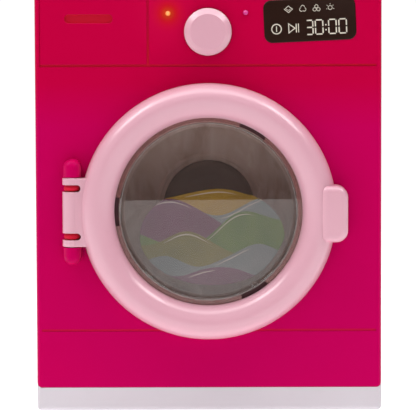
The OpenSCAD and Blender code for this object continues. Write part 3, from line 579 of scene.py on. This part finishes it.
m = Mat("lamp_orange", (0.30, 0.08, 0.02, 1), 0.14, 0.5)
m.color_noise((0.34, 0.10, 0.025, 1), 300)
m.rough_noise(0.10, 0.20, 300)
core = m.ramp(m.map(m.near(*LAMPS[0]), 0.0, 1.0, 0.0, 0.0016), [(0.0, (0.95, 0.49, 0.17, 1)), (0.40, (0.84, 0.38, 0.115, 1)), (0.75, (0.66, 0.20, 0.050, 1)), (1.0, (0.50, 0.07, 0.015, 1))])
m.wire(core, m.b.inputs["Emission Color"])
m.b.inputs["Emission Strength"].default_value = 0.92
M["lamp_orange"] = m.m
m = Mat("lamp_pink", (0.62, 0.040, 0.27, 1), 0.10, 0.6)
m.color_noise((0.70, 0.060, 0.32, 1), 500)
m.rough_noise(0.06, 0.14, 400)
m.b.inputs["Subsurface Weight"].default_value = 0.25
m.b.inputs["Subsurface Radius"].default_value = (0.002, 0.0004, 0.0008)
m.b.inputs["Subsurface Scale"].default_value = 1.0
M["lamp_pink"] = m.m

# every frame node takes the finish of its slot
slot_of = {s["node"]: s["material_slot"] for s in frame["record"]["subparts"]}
for n, o in NODES.items():
    o.data.materials.clear()
    o.data.materials.append(M[slot_of[n]])


def soften(node, width=0.25, angle=30, segs=2, planar=0.4):
    """Small edge rounds on a frame node that stays, as modifiers over its untouched mesh."""
    o = NODES[node]
    w = o.modifiers.new("weld", "WELD")
    w.merge_threshold = 0.000004
    d = o.modifiers.new("planar", "DECIMATE")
    d.decimate_type = "DISSOLVE"
    d.angle_limit = math.radians(planar)
    b = o.modifiers.new("edge", "BEVEL")
    b.width, b.segments, b.limit_method, b.angle_limit = width * MM, segs, "ANGLE", math.radians(angle)
    b.use_clamp_overlap = True
    n = o.modifiers.new("normals", "WEIGHTED_NORMAL")
    n.keep_sharp = False
    n.weight = 60
    return o


for node, width in (("front_shell", 0.40), ("rear_shell", 0.30), ("top_cover", 0.35), ("base_plinth", 0.35), ("drawer_front", 0.55),
                    ("drawer_tray", 0.30), ("battery_cover", 0.22), ("inner_tub", 0.25), ("switch_slider", 0.2)):
    soften(node, width)


# ------------------------------------------------------------------ door ring, with its hinge lug
def ring_profile():
    out = [(RO, -HB)]
    out += [(RC + (RO - RC) * math.cos(math.radians(a)), -(H_OUT + 11.5 * math.sin(math.radians(a)))) for a in range(0, 91, 3)]
    out += [(RC + (RC - RI) * math.cos(math.radians(a)), -(H_OUT + 1.8 + 9.7 * math.sin(math.radians(a)))) for a in range(93, 181, 3)]
    out += [(RI + 0.12, -(H_OUT - 1.25)), (RI + 0.35, -(H_OUT - 1.4)), (RI + 4.5, -(H_OUT - 1.4))]
    out += [(RC + (RC - RI - 4.5) * math.cos(math.radians(a)), -(H_OUT - 0.5 + 9.7 * math.sin(math.radians(a)))) for a in range(180, 89, -6)]
    out += [(RC + (RO - RC - 2.3) * math.cos(math.radians(a)), -(H_OUT + 9.2 * math.sin(math.radians(a)))) for a in range(84, -1, -6)]
    out += [(RO - 2.3, -HB)]
    return out


ring = link("door_ring_skin", lathe_bm(ring_profile(), 0, DZ, 240), M["door_pink"])
lug = link("lug", block_bm(-73.75, DZ, 9.5, 39.6, [0.6] * 4, -62.6, -71.2, 0.9, 4, 0.5), M["door_pink"])
slots = [block_bm(-81.7, zz, 16.6, 4.0, [1.95] * 4, -50, -82, 0.1) for zz in (DZ + 13.85, DZ - 13.95)]
pins = [cyl_bm("z", (HX, HY), 5.6, DZ - 19.8, DZ + 19.8, 64, 0.6)]
boolean(lug, pins, "UNION")
boolean(lug, slots)
for a in (30, 90, 150, 210, 270, 330):
    x, z = 65 * math.cos(math.radians(a)), DZ + 65 * math.sin(math.radians(a))
    post = link("post", cyl_bm("y", (x, z), 3.0, -74.4, -62.2, 32))
    boolean(post, [cyl_bm("y", (x, z), 1.1, -71, -61, 24)])
    tmp = bmesh.new()
    tmp.from_mesh(lug.data)
    tmp.from_mesh(post.data)
    tmp.to_mesh(lug.data)
    tmp.free()
    old = post.data
    bpy.data.objects.remove(post)
    bpy.data.meshes.remove(old)
tmp = bmesh.new()
tmp.from_mesh(ring.data)
tmp.from_mesh(lug.data)
for z0, z1 in ((DZ + 19.0, DZ + 24.8), (DZ - 24.8, DZ - 19.0)):
    pin = bpy.data.meshes.new("pin")
    b = cyl_bm("z", (HX, HY), 2.0, z0, z1, 40, 0.3)
    bmesh.ops.recalc_face_normals(b, faces=b.faces)
    b.to_mesh(pin)
    b.free()
    tmp.from_mesh(pin)
    bpy.data.meshes.remove(pin)
tmp.to_mesh(ring.data)
tmp.free()
bpy.data.objects.remove(lug)
mark_sharp(ring, 38)
put(ring, "door", "door_pink", "door_front_ring")

# handle block with soft front edges, cut to sit on the ring
handle = link("door_handle_skin", block_bm(72.2, 115.1, 15.6, 32.6, [6.8, 4.0, 4.0, 6.8], -61.9, -78.4, 4.0, 12), M["door_pink"])
env = [(40, -50), (RO + 0.05, -50), (RO + 0.05, -(H_OUT + 2.1)), (RO - 1.4, -(H_OUT + 6.9)), (RO - 3.8, -(H_OUT + 10)), (RC + 1.8, -(H_OUT + 11.55)), (40, -(H_OUT + 11.6))]
tongue = [block_bm(76.1, 115.5, 1.8, 12, [0.3] * 4, -54.5, -63, 0.1), block_bm(77.15, 115.5, 1.3, 12, [0.3] * 4, -54.5, -56.9, 0.3, 3, 0.5)]
boolean(handle, tongue, "UNION")
boolean(handle, [lathe_bm([(0.0, -50)] + env[1:-1] + [(0.0, -(H_OUT + 11.6))], 0, DZ, 240, closed=False)])
mark_sharp(handle, 30)
put(handle, "door", "door_pink", "door_handle")

# ------------------------------------------------------------------ window
wp = [(0.0, -57.4), (51.1, -57.4), (51.8, -62.2), (58.6, -62.2), (58.6, -63.95), (50.5, -63.95), (49.5, -59.2), (0.0, -59.2)]
wp2 = fillet(wp, [0, 0.5, 0.4, 0.2, 0.2, 0.5, 0.6, 0], 4)
window = link("door_window_skin", lathe_bm(wp2, 0, DZ, 240, closed=False), M["window_smoke"])
cut = []
for a in (180, 61, 300):
    loops = []
    for y in (-65.5, -61.9):
        arc = [(math.radians(a - 9 + 18 * k / 8)) for k in range(9)]
        loops.append([(51.7 * math.cos(t), y, DZ + 51.7 * math.sin(t)) for t in arc] + [(70 * math.cos(t), y, DZ + 70 * math.sin(t)) for t in reversed(arc)])
    cut.append(prism_bm(loops))
boolean(window, cut)
mark_sharp(window, 25)
put(window, "door", "window_smoke", "door_window")

# ------------------------------------------------------------------ knob
kp = [(2.56, -61.6), (6.2, -61.6), (6.2, -65.8), (12.0, -65.8), (12.0, -60.9), (13.65, -60.9), (13.65, -65.6), (13.35, -66.3), (12.75, -66.75), (10.2, -68.5), (0.0, -68.5), (0.0, -66.4), (2.56, -66.4)]
kr = [0, 0, 0, 0, 0.3, 0.3, 0.4, 0.5, 0.4, 0.5, 0, 0, 0]
knob = link("knob_cap_skin", lathe_bm(fillet(kp, kr, 6), 0, KNOB_Z, 160), M["door_pink"])
mark_sharp(knob, 30)
put(knob, "knob", "door_pink", "knob_cap")

# ------------------------------------------------------------------ lamps
for i, (x, z) in enumerate(LAMPS):
    prof = [(0.0, YF - 1.7)] + [(1.5 * math.sin(math.radians(a)), YF - 0.2 - 1.5 * math.cos(math.radians(a))) for a in range(10, 91, 10)]
    prof += [(1.5, YF + 2.9), (1.9, YF + 2.95), (1.9, YF + 3.8), (0.0, YF + 3.8)]
    lamp = lathe_bm(prof, x, z, 40, closed=False)
    o = link("lamp_left_lens" if i == 0 else "lamp_right_lens", lamp, M["lamp_orange" if i == 0 else "lamp_pink"])
    legs = [cyl_bm("y", (x + s * 0.9, z), 0.28, YF + 3.5, -39.5, 16) for s in (-1, 1)]
    boolean(o, legs, "UNION")
    mark_sharp(o, 40)
    put(o, "cabinet", "lamp_orange" if i == 0 else "lamp_pink", "lamp_left" if i == 0 else "lamp_right")

# ------------------------------------------------------------------ display
disp = link("display_glass", block_bm(DISP[0], DISP[1], 52.9, 24.4, [4.6] * 4, YF + 1.0, YF - 0.2, 0.35, 4, 0.0, TILT), M["display_black"])
mark_sharp(disp, 50)
put(disp, "cabinet", "display_black", "display_panel")


def ribbon(bm, pts, w, y, closed=False, h=0.03):
    """A flat stroke of width w along 2-D points in the display's own plane."""
    n = len(pts)
    left, right = [], []
    for i in range(n):
        if closed:
            a, b = Vector(pts[i - 1]), Vector(pts[(i + 1) % n])
        else:
            a, b = Vector(pts[max(0, i - 1)]), Vector(pts[min(n - 1, i + 1)])
        p = Vector(pts[i])
        d1 = (p - Vector(pts[i - 1])).normalized() if (closed or i > 0) else None
        d2 = (Vector(pts[(i + 1) % n]) - p).normalized() if (closed or i < n - 1) else None
        d = ((d1 or d2) + (d2 or d1)).normalized()
        nrm = Vector((-d.y, d.x))
        ref = d1 or d2
        k = 1 / max(0.5, nrm.dot(Vector((-ref.y, ref.x))))
        left.append(p + nrm * w / 2 * k)
        right.append(p - nrm * w / 2 * k)
    c, s = math.cos(TILT), math.sin(TILT)

    def vert(q, yy):
        return bm.verts.new(((DISP[0] + q.x * c - q.y * s) * MM, yy * MM, (DISP[1] + q.x * s + q.y * c) * MM))

    top = [(vert(l, y - h), vert(r, y - h)) for l, r in zip(left, right)]
    bot = [(vert(l, y), vert(r, y)) for l, r in zip(left, right)]
    rng = range(n) if closed else range(n - 1)
    for i in rng:
        j = (i + 1) % n
        bm.faces.new((top[i][0], top[j][0], top[j][1], top[i][1]))
        bm.faces.new((bot[i][0], bot[i][1], bot[j][1], bot[j][0]))
        bm.faces.new((top[i][0], bot[i][0], bot[j][0], top[j][0]))
        bm.faces.new((top[i][1], top[j][1], bot[j][1], bot[i][1]))
    if not closed:
        bm.faces.new((top[0][0], top[0][1], bot[0][1], bot[0][0]))
        bm.faces.new((top[-1][0], bot[-1][0], bot[-1][1], top[-1][1]))


def arc_pts(cx, cz, r, a0, a1, n=20):
    return [(cx + r * math.cos(math.radians(a0 + (a1 - a0) * k / n)), cz + r * math.sin(math.radians(a0 + (a1 - a0) * k / n))) for k in range(n + 1)]


def circle_pts(cx, cz, r, n=28):
    return arc_pts(cx, cz, r, 0, 360 * (n - 1) / n, n - 1)


print_bm = bmesh.new()
YD = YF - 0.2 - 0.005


def seg(x0, z0, x1, z1, w=0.72):
    """One bar of a seven-segment digit, with pointed ends."""
    ribbon(print_bm, [(x0, z0), (x1, z1)], w, YD)


def digit(x, z, w, h, on):
    """Seven-segment digit with its lower left corner at (x, z)."""
    g = 0.42
    bars = {"a": (x + g, z + h, x + w - g, z + h), "d": (x + g, z, x + w - g, z), "g": (x + g, z + h / 2, x + w - g, z + h / 2),
            "f": (x, z + h / 2 + g, x, z + h - g), "e": (x, z + g, x, z + h / 2 - g),
            "b": (x + w, z + h / 2 + g, x + w, z + h - g), "c": (x + w, z + g, x + w, z + h / 2 - g)}
    for k in on:
        seg(*bars[k])


zd, hd, wd = -8.35, 8.1, 4.1
digit(-2.2, zd, wd - 0.3, hd, "abgcd")
digit(3.05, zd, wd + 0.2, hd, "abcdef")
digit(10.7, zd, wd + 0.2, hd, "abcdef")
digit(16.6, zd, wd + 0.2, hd, "abcdef")
for k in (0, 1):
    ribbon(print_bm, [(8.65, zd + 2.3 + 2.85 * k), (9.45, zd + 2.3 + 2.85 * k)], 0.8, YD)
# power ring with a bar
px, pz = -19.35, -4.4
ribbon(print_bm, circle_pts(px, pz, 2.75, 40), 0.58, YD, True)
ribbon(print_bm, [(px, pz - 1.55), (px, pz + 1.55)], 0.5, YD)
# play outline and two bars
tx = -12.3
ribbon(print_bm, [(tx, pz - 2.5), (tx + 3.6, pz + 0.1), (tx, pz + 2.7)], 0.55, YD, True)
ribbon(print_bm, [(tx + 4.3, pz - 2.4), (tx + 4.3, pz + 2.6)], 0.50, YD)
ribbon(print_bm, [(tx + 5.6, pz - 2.4), (tx + 5.6, pz + 2.6)], 0.50, YD)
# four small programme symbols: basin, spin, drops, sun
iz = 6.65
bx = -12.0
ribbon(print_bm, [(bx - 2.3, iz), (bx, iz + 1.9), (bx + 2.3, iz), (bx, iz - 1.9)], 0.34, YD, True)
ribbon(print_bm, arc_pts(bx, iz + 0.7, 1.25, 200, 340, 12), 0.3, YD)
sx = -3.8
for k in range(3):
    a = 90 + 120 * k
    ribbon(print_bm, arc_pts(sx + 0.95 * math.cos(math.radians(a)), iz + 0.95 * math.sin(math.radians(a)), 1.0, a - 100, a + 100, 12), 0.32, YD)
fx = 4.1
for k, (dx, dzz) in enumerate(((0, 1.0), (-1.1, -0.75), (1.1, -0.75))):
    ribbon(print_bm, circle_pts(fx + dx, iz + dzz, 0.95, 24), 0.32, YD, True)
ux = 12.0
ribbon(print_bm, circle_pts(ux, iz - 0.1, 1.15, 24), 0.32, YD, True)
for k in range(5):
    a = math.radians(-18 + 54 * k)
    ribbon(print_bm, [(ux + 1.75 * math.cos(a), iz - 0.1 + 1.75 * math.sin(a)), (ux + 2.4 * math.cos(a), iz - 0.1 + 2.4 * math.sin(a))], 0.3, YD)
symbols = link("display_print", print_bm, M["display_ink"], smooth=False)
put(symbols, "cabinet", "display_black")

# ------------------------------------------------------------------ printed film: generic wave bands
film = link("door_film_sheet", lathe_bm([(0.0, -57.36), (48.3, -57.36), (48.5, -57.15), (48.3, -56.92), (0.0, -56.92)], 0, DZ, 160, closed=False), M["print_film"])
put(film, "door", "print_film", "door_print_film")

INKS = {
    "mustard": ink("ink_mustard", (0.23, 0.128, 0.002, 1), (0.36, 0.210, 0.006, 1), 26, (1, 1, 2)),
    "plum": ink("ink_plum", (0.090, 0.016, 0.052, 1), (0.140, 0.034, 0.094, 1), 26, (1, 1, 2)),
    "green": ink("ink_green", (0.046, 0.115, 0.006, 1), (0.105, 0.170, 0.018, 1), 26, (2, 1, 1)),
    "blue": ink("ink_blue", (0.100, 0.135, 0.140, 1), (0.180, 0.195, 0.200, 1), 26, (1, 1, 2)),
    "olive": ink("ink_olive", (0.098, 0.094, 0.004, 1), (0.165, 0.138, 0.010, 1), 26, (1, 1, 2)),
    "light": ink("ink_light", (0.40, 0.335, 0.29, 1), (0.47, 0.415, 0.37, 1), 60),
}


def in_disc(x, z, r=46.6):
    d = math.hypot(x, z)
    return (x, z) if d <= r else (x * r / d, z * r / d)


def flat(name, pts, y, mat, body="door"):
    """A thin printed patch: a closed outline in the plane y."""
    bm = bmesh.new()
    pts = [in_disc(*p) for p in pts]
    top = [bm.verts.new((p[0] * MM, y * MM, (DZ + p[1]) * MM)) for p in pts]
    bot = [bm.verts.new((p[0] * MM, (y + 0.03) * MM, (DZ + p[1]) * MM)) for p in pts]
    n = len(pts)
    bm.faces.new(top)
    bm.faces.new(list(reversed(bot)))
    for i in range(n):
        j = (i + 1) % n
        bm.faces.new((top[i], bot[i], bot[j], top[j]))
    return bm


# rolling wave bands, each in front of the one before, with a thin light line along part of its crest
CX, CZ, RX, RZ = 2.0, -14.8, 42.0, 28.6
bands = [
    # ink, height, swell, wave length, shift, slope, light line from and to
    ("mustard", 10.2, 2.4, 60, 12, 0.02, -14, 16),
    ("blue", 3.2, 5.6, 72, -24, 0.05, 6, 34),
    ("plum", -3.4, 6.2, 70, 34, -0.20, -34, -10),
    ("green", -11.5, 6.6, 66, -4, 0.20, -2, 26),
    ("olive", -19.5, 5.6, 64, 26, -0.12, -26, 0),
    ("blue", -27.5, 4.4, 56, -12, 0.12, 4, 24),
    ("plum", -35.2, 2.6, 50, 6, 0.0, -12, 4),
]
inks_bm = {k: bmesh.new() for k in INKS}


def crest(b, x):
    return b[1] + b[2] * math.sin(2 * math.pi * (x + b[4]) / b[3]) + 0.12 * b[2] * math.sin(2 * math.pi * (x + 2 * b[4]) / b[3] * 2.1) + b[5] * x


def add_to(col, bm):
    me = bpy.data.meshes.new("t")
    bm.to_mesh(me)
    bm.free()
    inks_bm[col].from_mesh(me)
    bpy.data.meshes.remove(me)


def inside(x, z):
    return math.hypot((x - CX) / RX, (z - CZ) / RZ) <= 1


for i, b in enumerate(bands):
    y = -57.366 - 0.003 * i
    xs = [CX - RX + 2 * RX * k / 400 for k in range(401)]
    top = [(x, crest(b, x)) for x in xs if inside(x, crest(b, x))]
    a0 = math.atan2((top[-1][1] - CZ) / RZ, (top[-1][0] - CX) / RX)
    a1 = math.atan2((top[0][1] - CZ) / RZ, (top[0][0] - CX) / RX)
    while a1 > a0:
        a1 -= 2 * math.pi
    rim = [(CX + RX * math.cos(a0 + (a1 - a0) * k / 60), CZ + RZ * math.sin(a0 + (a1 - a0) * k / 60)) for k in range(61)]
    add_to(b[0], flat("p", top[::2] + rim[1:-1], y, None))
    n = 40
    up, low = [], []
    for k in range(n + 1):
        t = k / n
        x = b[6] + (b[7] - b[6]) * t
        w = 0.62 * math.sin(math.pi * t) ** 0.6 + 0.06
        zc = crest(b, x) - 1.9
        if inside(x, zc):
            up.append((x, zc + w / 2))
            low.append((x, zc - w / 2))
    if len(up) > 3:
        add_to("light", flat("s", up + list(reversed(low)), y - 0.0015, None))
for k, b in inks_bm.items():
    if len(b.faces):
        o = link("film_print_" + k, b, INKS[k], smooth=False)
        put(o, "door", "print_film")
    else:
        b.free()

# ------------------------------------------------------------------ drum with lifters and rows of holes
dro, dri = 57.0, 55.5
dp = [(0.0, -11.0), (dro - 1.0, -11.0), (dro, -12.0), (dro, -56.3), (dro - 0.4, -56.8), (dri + 0.4, -56.8), (dri, -56.3), (dri, -15.0), (dri - 2.0, -13.0), (31.5, -13.0), (30.9, -13.6), (29.2, -13.6),
      (28.8, -13.0), (9.0, -13.0), (9.0, -18.9), (0.0, -18.9)]
drum = link("drum_skin", lathe_bm(dp, 0, DZ, 192, closed=False), M["drum_grey"])
lift = []
for k in range(3):
    a = math.radians(-(30 + 120 * k))
    bm = bmesh.new()
    prof = [(-2.6, 55.9), (-1.75, 54.8), (-1.6, 53.8), (-1.35, 52.95), (-0.75, 52.4), (0, 52.2), (0.75, 52.4), (1.35, 52.95), (1.6, 53.8), (1.75, 54.8), (2.6, 55.9)]
    loops = [[(p[0], y, p[1]) for p in prof] for y in (-46, -45.4, -12.6)]
    loops[0] = [(p[0] * 0.82, -46, 55.9 - (55.9 - p[1]) * 0.9) for p in prof]
    b = prism_bm(loops)
    # CAD places lifter k at 30 + 120 k degrees about +Y from +Z
    bmesh.ops.rotate(b, verts=b.verts, cent=(0, 0, 0), matrix=Matrix.Rotation(math.radians(30 + 120 * k), 3, "Y"))
    bmesh.ops.translate(b, verts=b.verts, vec=(0, 0, DZ * MM))
    lift.append(b)
boolean(drum, lift, "UNION")
perf = []
for row in range(5):
    for k in range(36):
        ang = 10 * k + (5 if row % 2 else 0)
        if min(abs((ang - t + 180) % 360 - 180) for t in (30, 150, 270)) < 8:
            continue
        perf.append((ang, -50 + 8.5 * row))
hb = bmesh.new()
for ang, y in perf:
    t = cyl_bm("z", (0, 0), 1.25, 53.5, 58.5, 12)
    bmesh.ops.translate(t, verts=t.verts, vec=(0, y * MM, 0))
    bmesh.ops.rotate(t, verts=t.verts, cent=(0, 0, 0), matrix=Matrix.Rotation(math.radians(ang), 3, "Y"))
    bmesh.ops.translate(t, verts=t.verts, vec=(0, 0, DZ * MM))
    me = bpy.data.meshes.new("t")
    t.to_mesh(me)
    t.free()
    hb.from_mesh(me)
    bpy.data.meshes.remove(me)
boolean(drum, [hb])
mark_sharp(drum, 30)
put(drum, "drum_unit", "drum_grey", "drum")

hp = [(0.0, -23.0), (10.0, -22.6), (18.0, -21.5), (24.0, -19.4), (26.2, -17.4), (27.0, -14.6), (27.0, -13.05), (25.4, -13.05), (24.9, -16.4), (23.0, -18.1), (17.5, -19.9), (9.8, -20.9), (0.0, -21.3)]
hub = link("hub_cap_skin", lathe_bm(fillet(hp, [0, 3, 3, 3, 1.2, 1.0, 0.2, 0, 0, 0, 0, 0, 0], 5), 0, DZ, 160, closed=False), M["hub_dark"])
mark_sharp(hub, 40)
put(hub, "drum_unit", "hub_dark", "drum_hub_cap")

# ------------------------------------------------------------------ floor, light and background
fb = bmesh.new()
vs = [fb.verts.new(v) for v in ((-4, -1.496, -0.0004), (4, -2.197, -0.0004), (4, 6, -0.0004), (-4, 6, -0.0004))]
fb.faces.new(vs)
floor = link("floor", fb, None, smooth=False)
fm = Mat("floor_pale", (0.90, 0.90, 0.90, 1), 0.6, 0.2)
fm.color_noise((0.87, 0.87, 0.87, 1), 3)
fm.b.inputs["Emission Color"].default_value = (1, 1, 1, 1)
ahead = fm.map(fm.axis(1), 0.70, 0.56, -1.9, -1.2)
behind = fm.map(fm.axis(1), 0.0, 0.24, -0.2, 1.2)
level = fm.node("ShaderNodeMath", operation="ADD")
fm.wire(ahead, level.inputs[0])
fm.wire(behind, level.inputs[1])
fm.wire(level.outputs[0], fm.b.inputs["Emission Strength"])
floor.data.materials.append(fm.m)

world = bpy.data.worlds.new("studio")
sc.world = world
world.use_nodes = True
wn = world.node_tree
wn.nodes.clear()
out = wn.nodes.new("ShaderNodeOutputWorld")
tc = wn.nodes.new("ShaderNodeTexCoord")
sep = wn.nodes.new("ShaderNodeSeparateXYZ")
wn.links.new(tc.outputs["Generated"], sep.inputs[0])
front = wn.nodes.new("ShaderNodeMapRange")
front.interpolation_type = "SMOOTHSTEP"
front.inputs["From Min"].default_value, front.inputs["From Max"].default_value = -0.995, -0.90
front.inputs["To Min"].default_value, front.inputs["To Max"].default_value = 0.02, 0.26
wn.links.new(sep.outputs["Y"], front.inputs["Value"])
bg = wn.nodes.new("ShaderNodeBackground")
bg.inputs["Color"].default_value = (1, 1, 1, 1)
side = wn.nodes.new("ShaderNodeMapRange")
side.inputs["From Min"].default_value, side.inputs["From Max"].default_value = -1.0, 1.0
side.inputs["To Min"].default_value, side.inputs["To Max"].default_value = 2.1, 0.30
wn.links.new(sep.outputs["X"], side.inputs["Value"])
both = wn.nodes.new("ShaderNodeMath")
both.operation = "MULTIPLY"
wn.links.new(front.outputs["Result"], both.inputs[0])
wn.links.new(side.outputs["Result"], both.inputs[1])
wn.links.new(both.outputs[0], bg.inputs["Strength"])
bg2 = wn.nodes.new("ShaderNodeBackground")
bg2.inputs["Color"].default_value = (1, 1, 1, 1)
bg2.inputs["Strength"].default_value = 1.05
lp = wn.nodes.new("ShaderNodeLightPath")
mx = wn.nodes.new("ShaderNodeMixShader")
wn.links.new(lp.outputs["Is Camera Ray"], mx.inputs[0])
wn.links.new(bg.outputs[0], mx.inputs[1])
wn.links.new(bg2.outputs[0], mx.inputs[2])
wn.links.new(mx.outputs[0], out.inputs["Surface"])


def area(name, loc, target, size, power, color=(1, 1, 1)):
    l = bpy.data.lights.new(name, "AREA")
    l.shape, l.size = "SQUARE", size
    l.energy, l.color = power, color
    o = bpy.data.objects.new(name, l)
    sc.collection.objects.link(o)
    o.location = loc
    o.rotation_euler = (Vector(target) - Vector(loc)).to_track_quat("-Z", "Y").to_euler()
    return o


tgt = Vector((0, -0.06, 0.12))
for name, az in (("soft_left", 131), ("soft_right", 49)):
    d = Vector((math.cos(math.radians(az)) * math.sin(math.radians(77)), -math.cos(math.radians(77)), math.sin(math.radians(az)) * math.sin(math.radians(77))))
    area(name, tgt + d * 1.1, tgt, 0.40, 3.3)
over = area("overhead", tgt + Vector((0, -math.cos(math.radians(77)), math.sin(math.radians(77)))) * 1.1, tgt, 1.5, 8.2)
over.data.shape, over.data.size_y = "RECTANGLE", 0.6
area("front_top", (0, -1.15, 1.15), tgt, 1.2, 1.0)
cb = bmesh.new()
cb.faces.new([cb.verts.new((x * MM, -2.6, z * MM)) for x, z in ((130, 260), (152, 246), (213, 237.5), (260, 232), (260, 400), (100, 400))])
card = link("grey_card", cb, None, smooth=False)
cm = Mat("card_grey", (0.06, 0.06, 0.06, 1), 0.6, 0.2)
cm.color_noise((0.05, 0.05, 0.05, 1), 3)
cm.b.inputs["Emission Color"].default_value = (1.0, 0.84, 0.82, 1)
cm.b.inputs["Emission Strength"].default_value = 0.3
card.data.materials.append(cm.m)
glow = bpy.data.lights.new("lamp_glow", "POINT")
glow.energy, glow.color, glow.shadow_soft_size = 0.0002, (1.0, 0.40, 0.06), 0.0015
go = bpy.data.objects.new("lamp_glow", glow)
sc.collection.objects.link(go)
go.location = (LAMPS[0][0] * MM, -0.0665, LAMPS[0][1] * MM)

sc.view_settings.view_transform = "Standard"
sc.view_settings.look = "None"
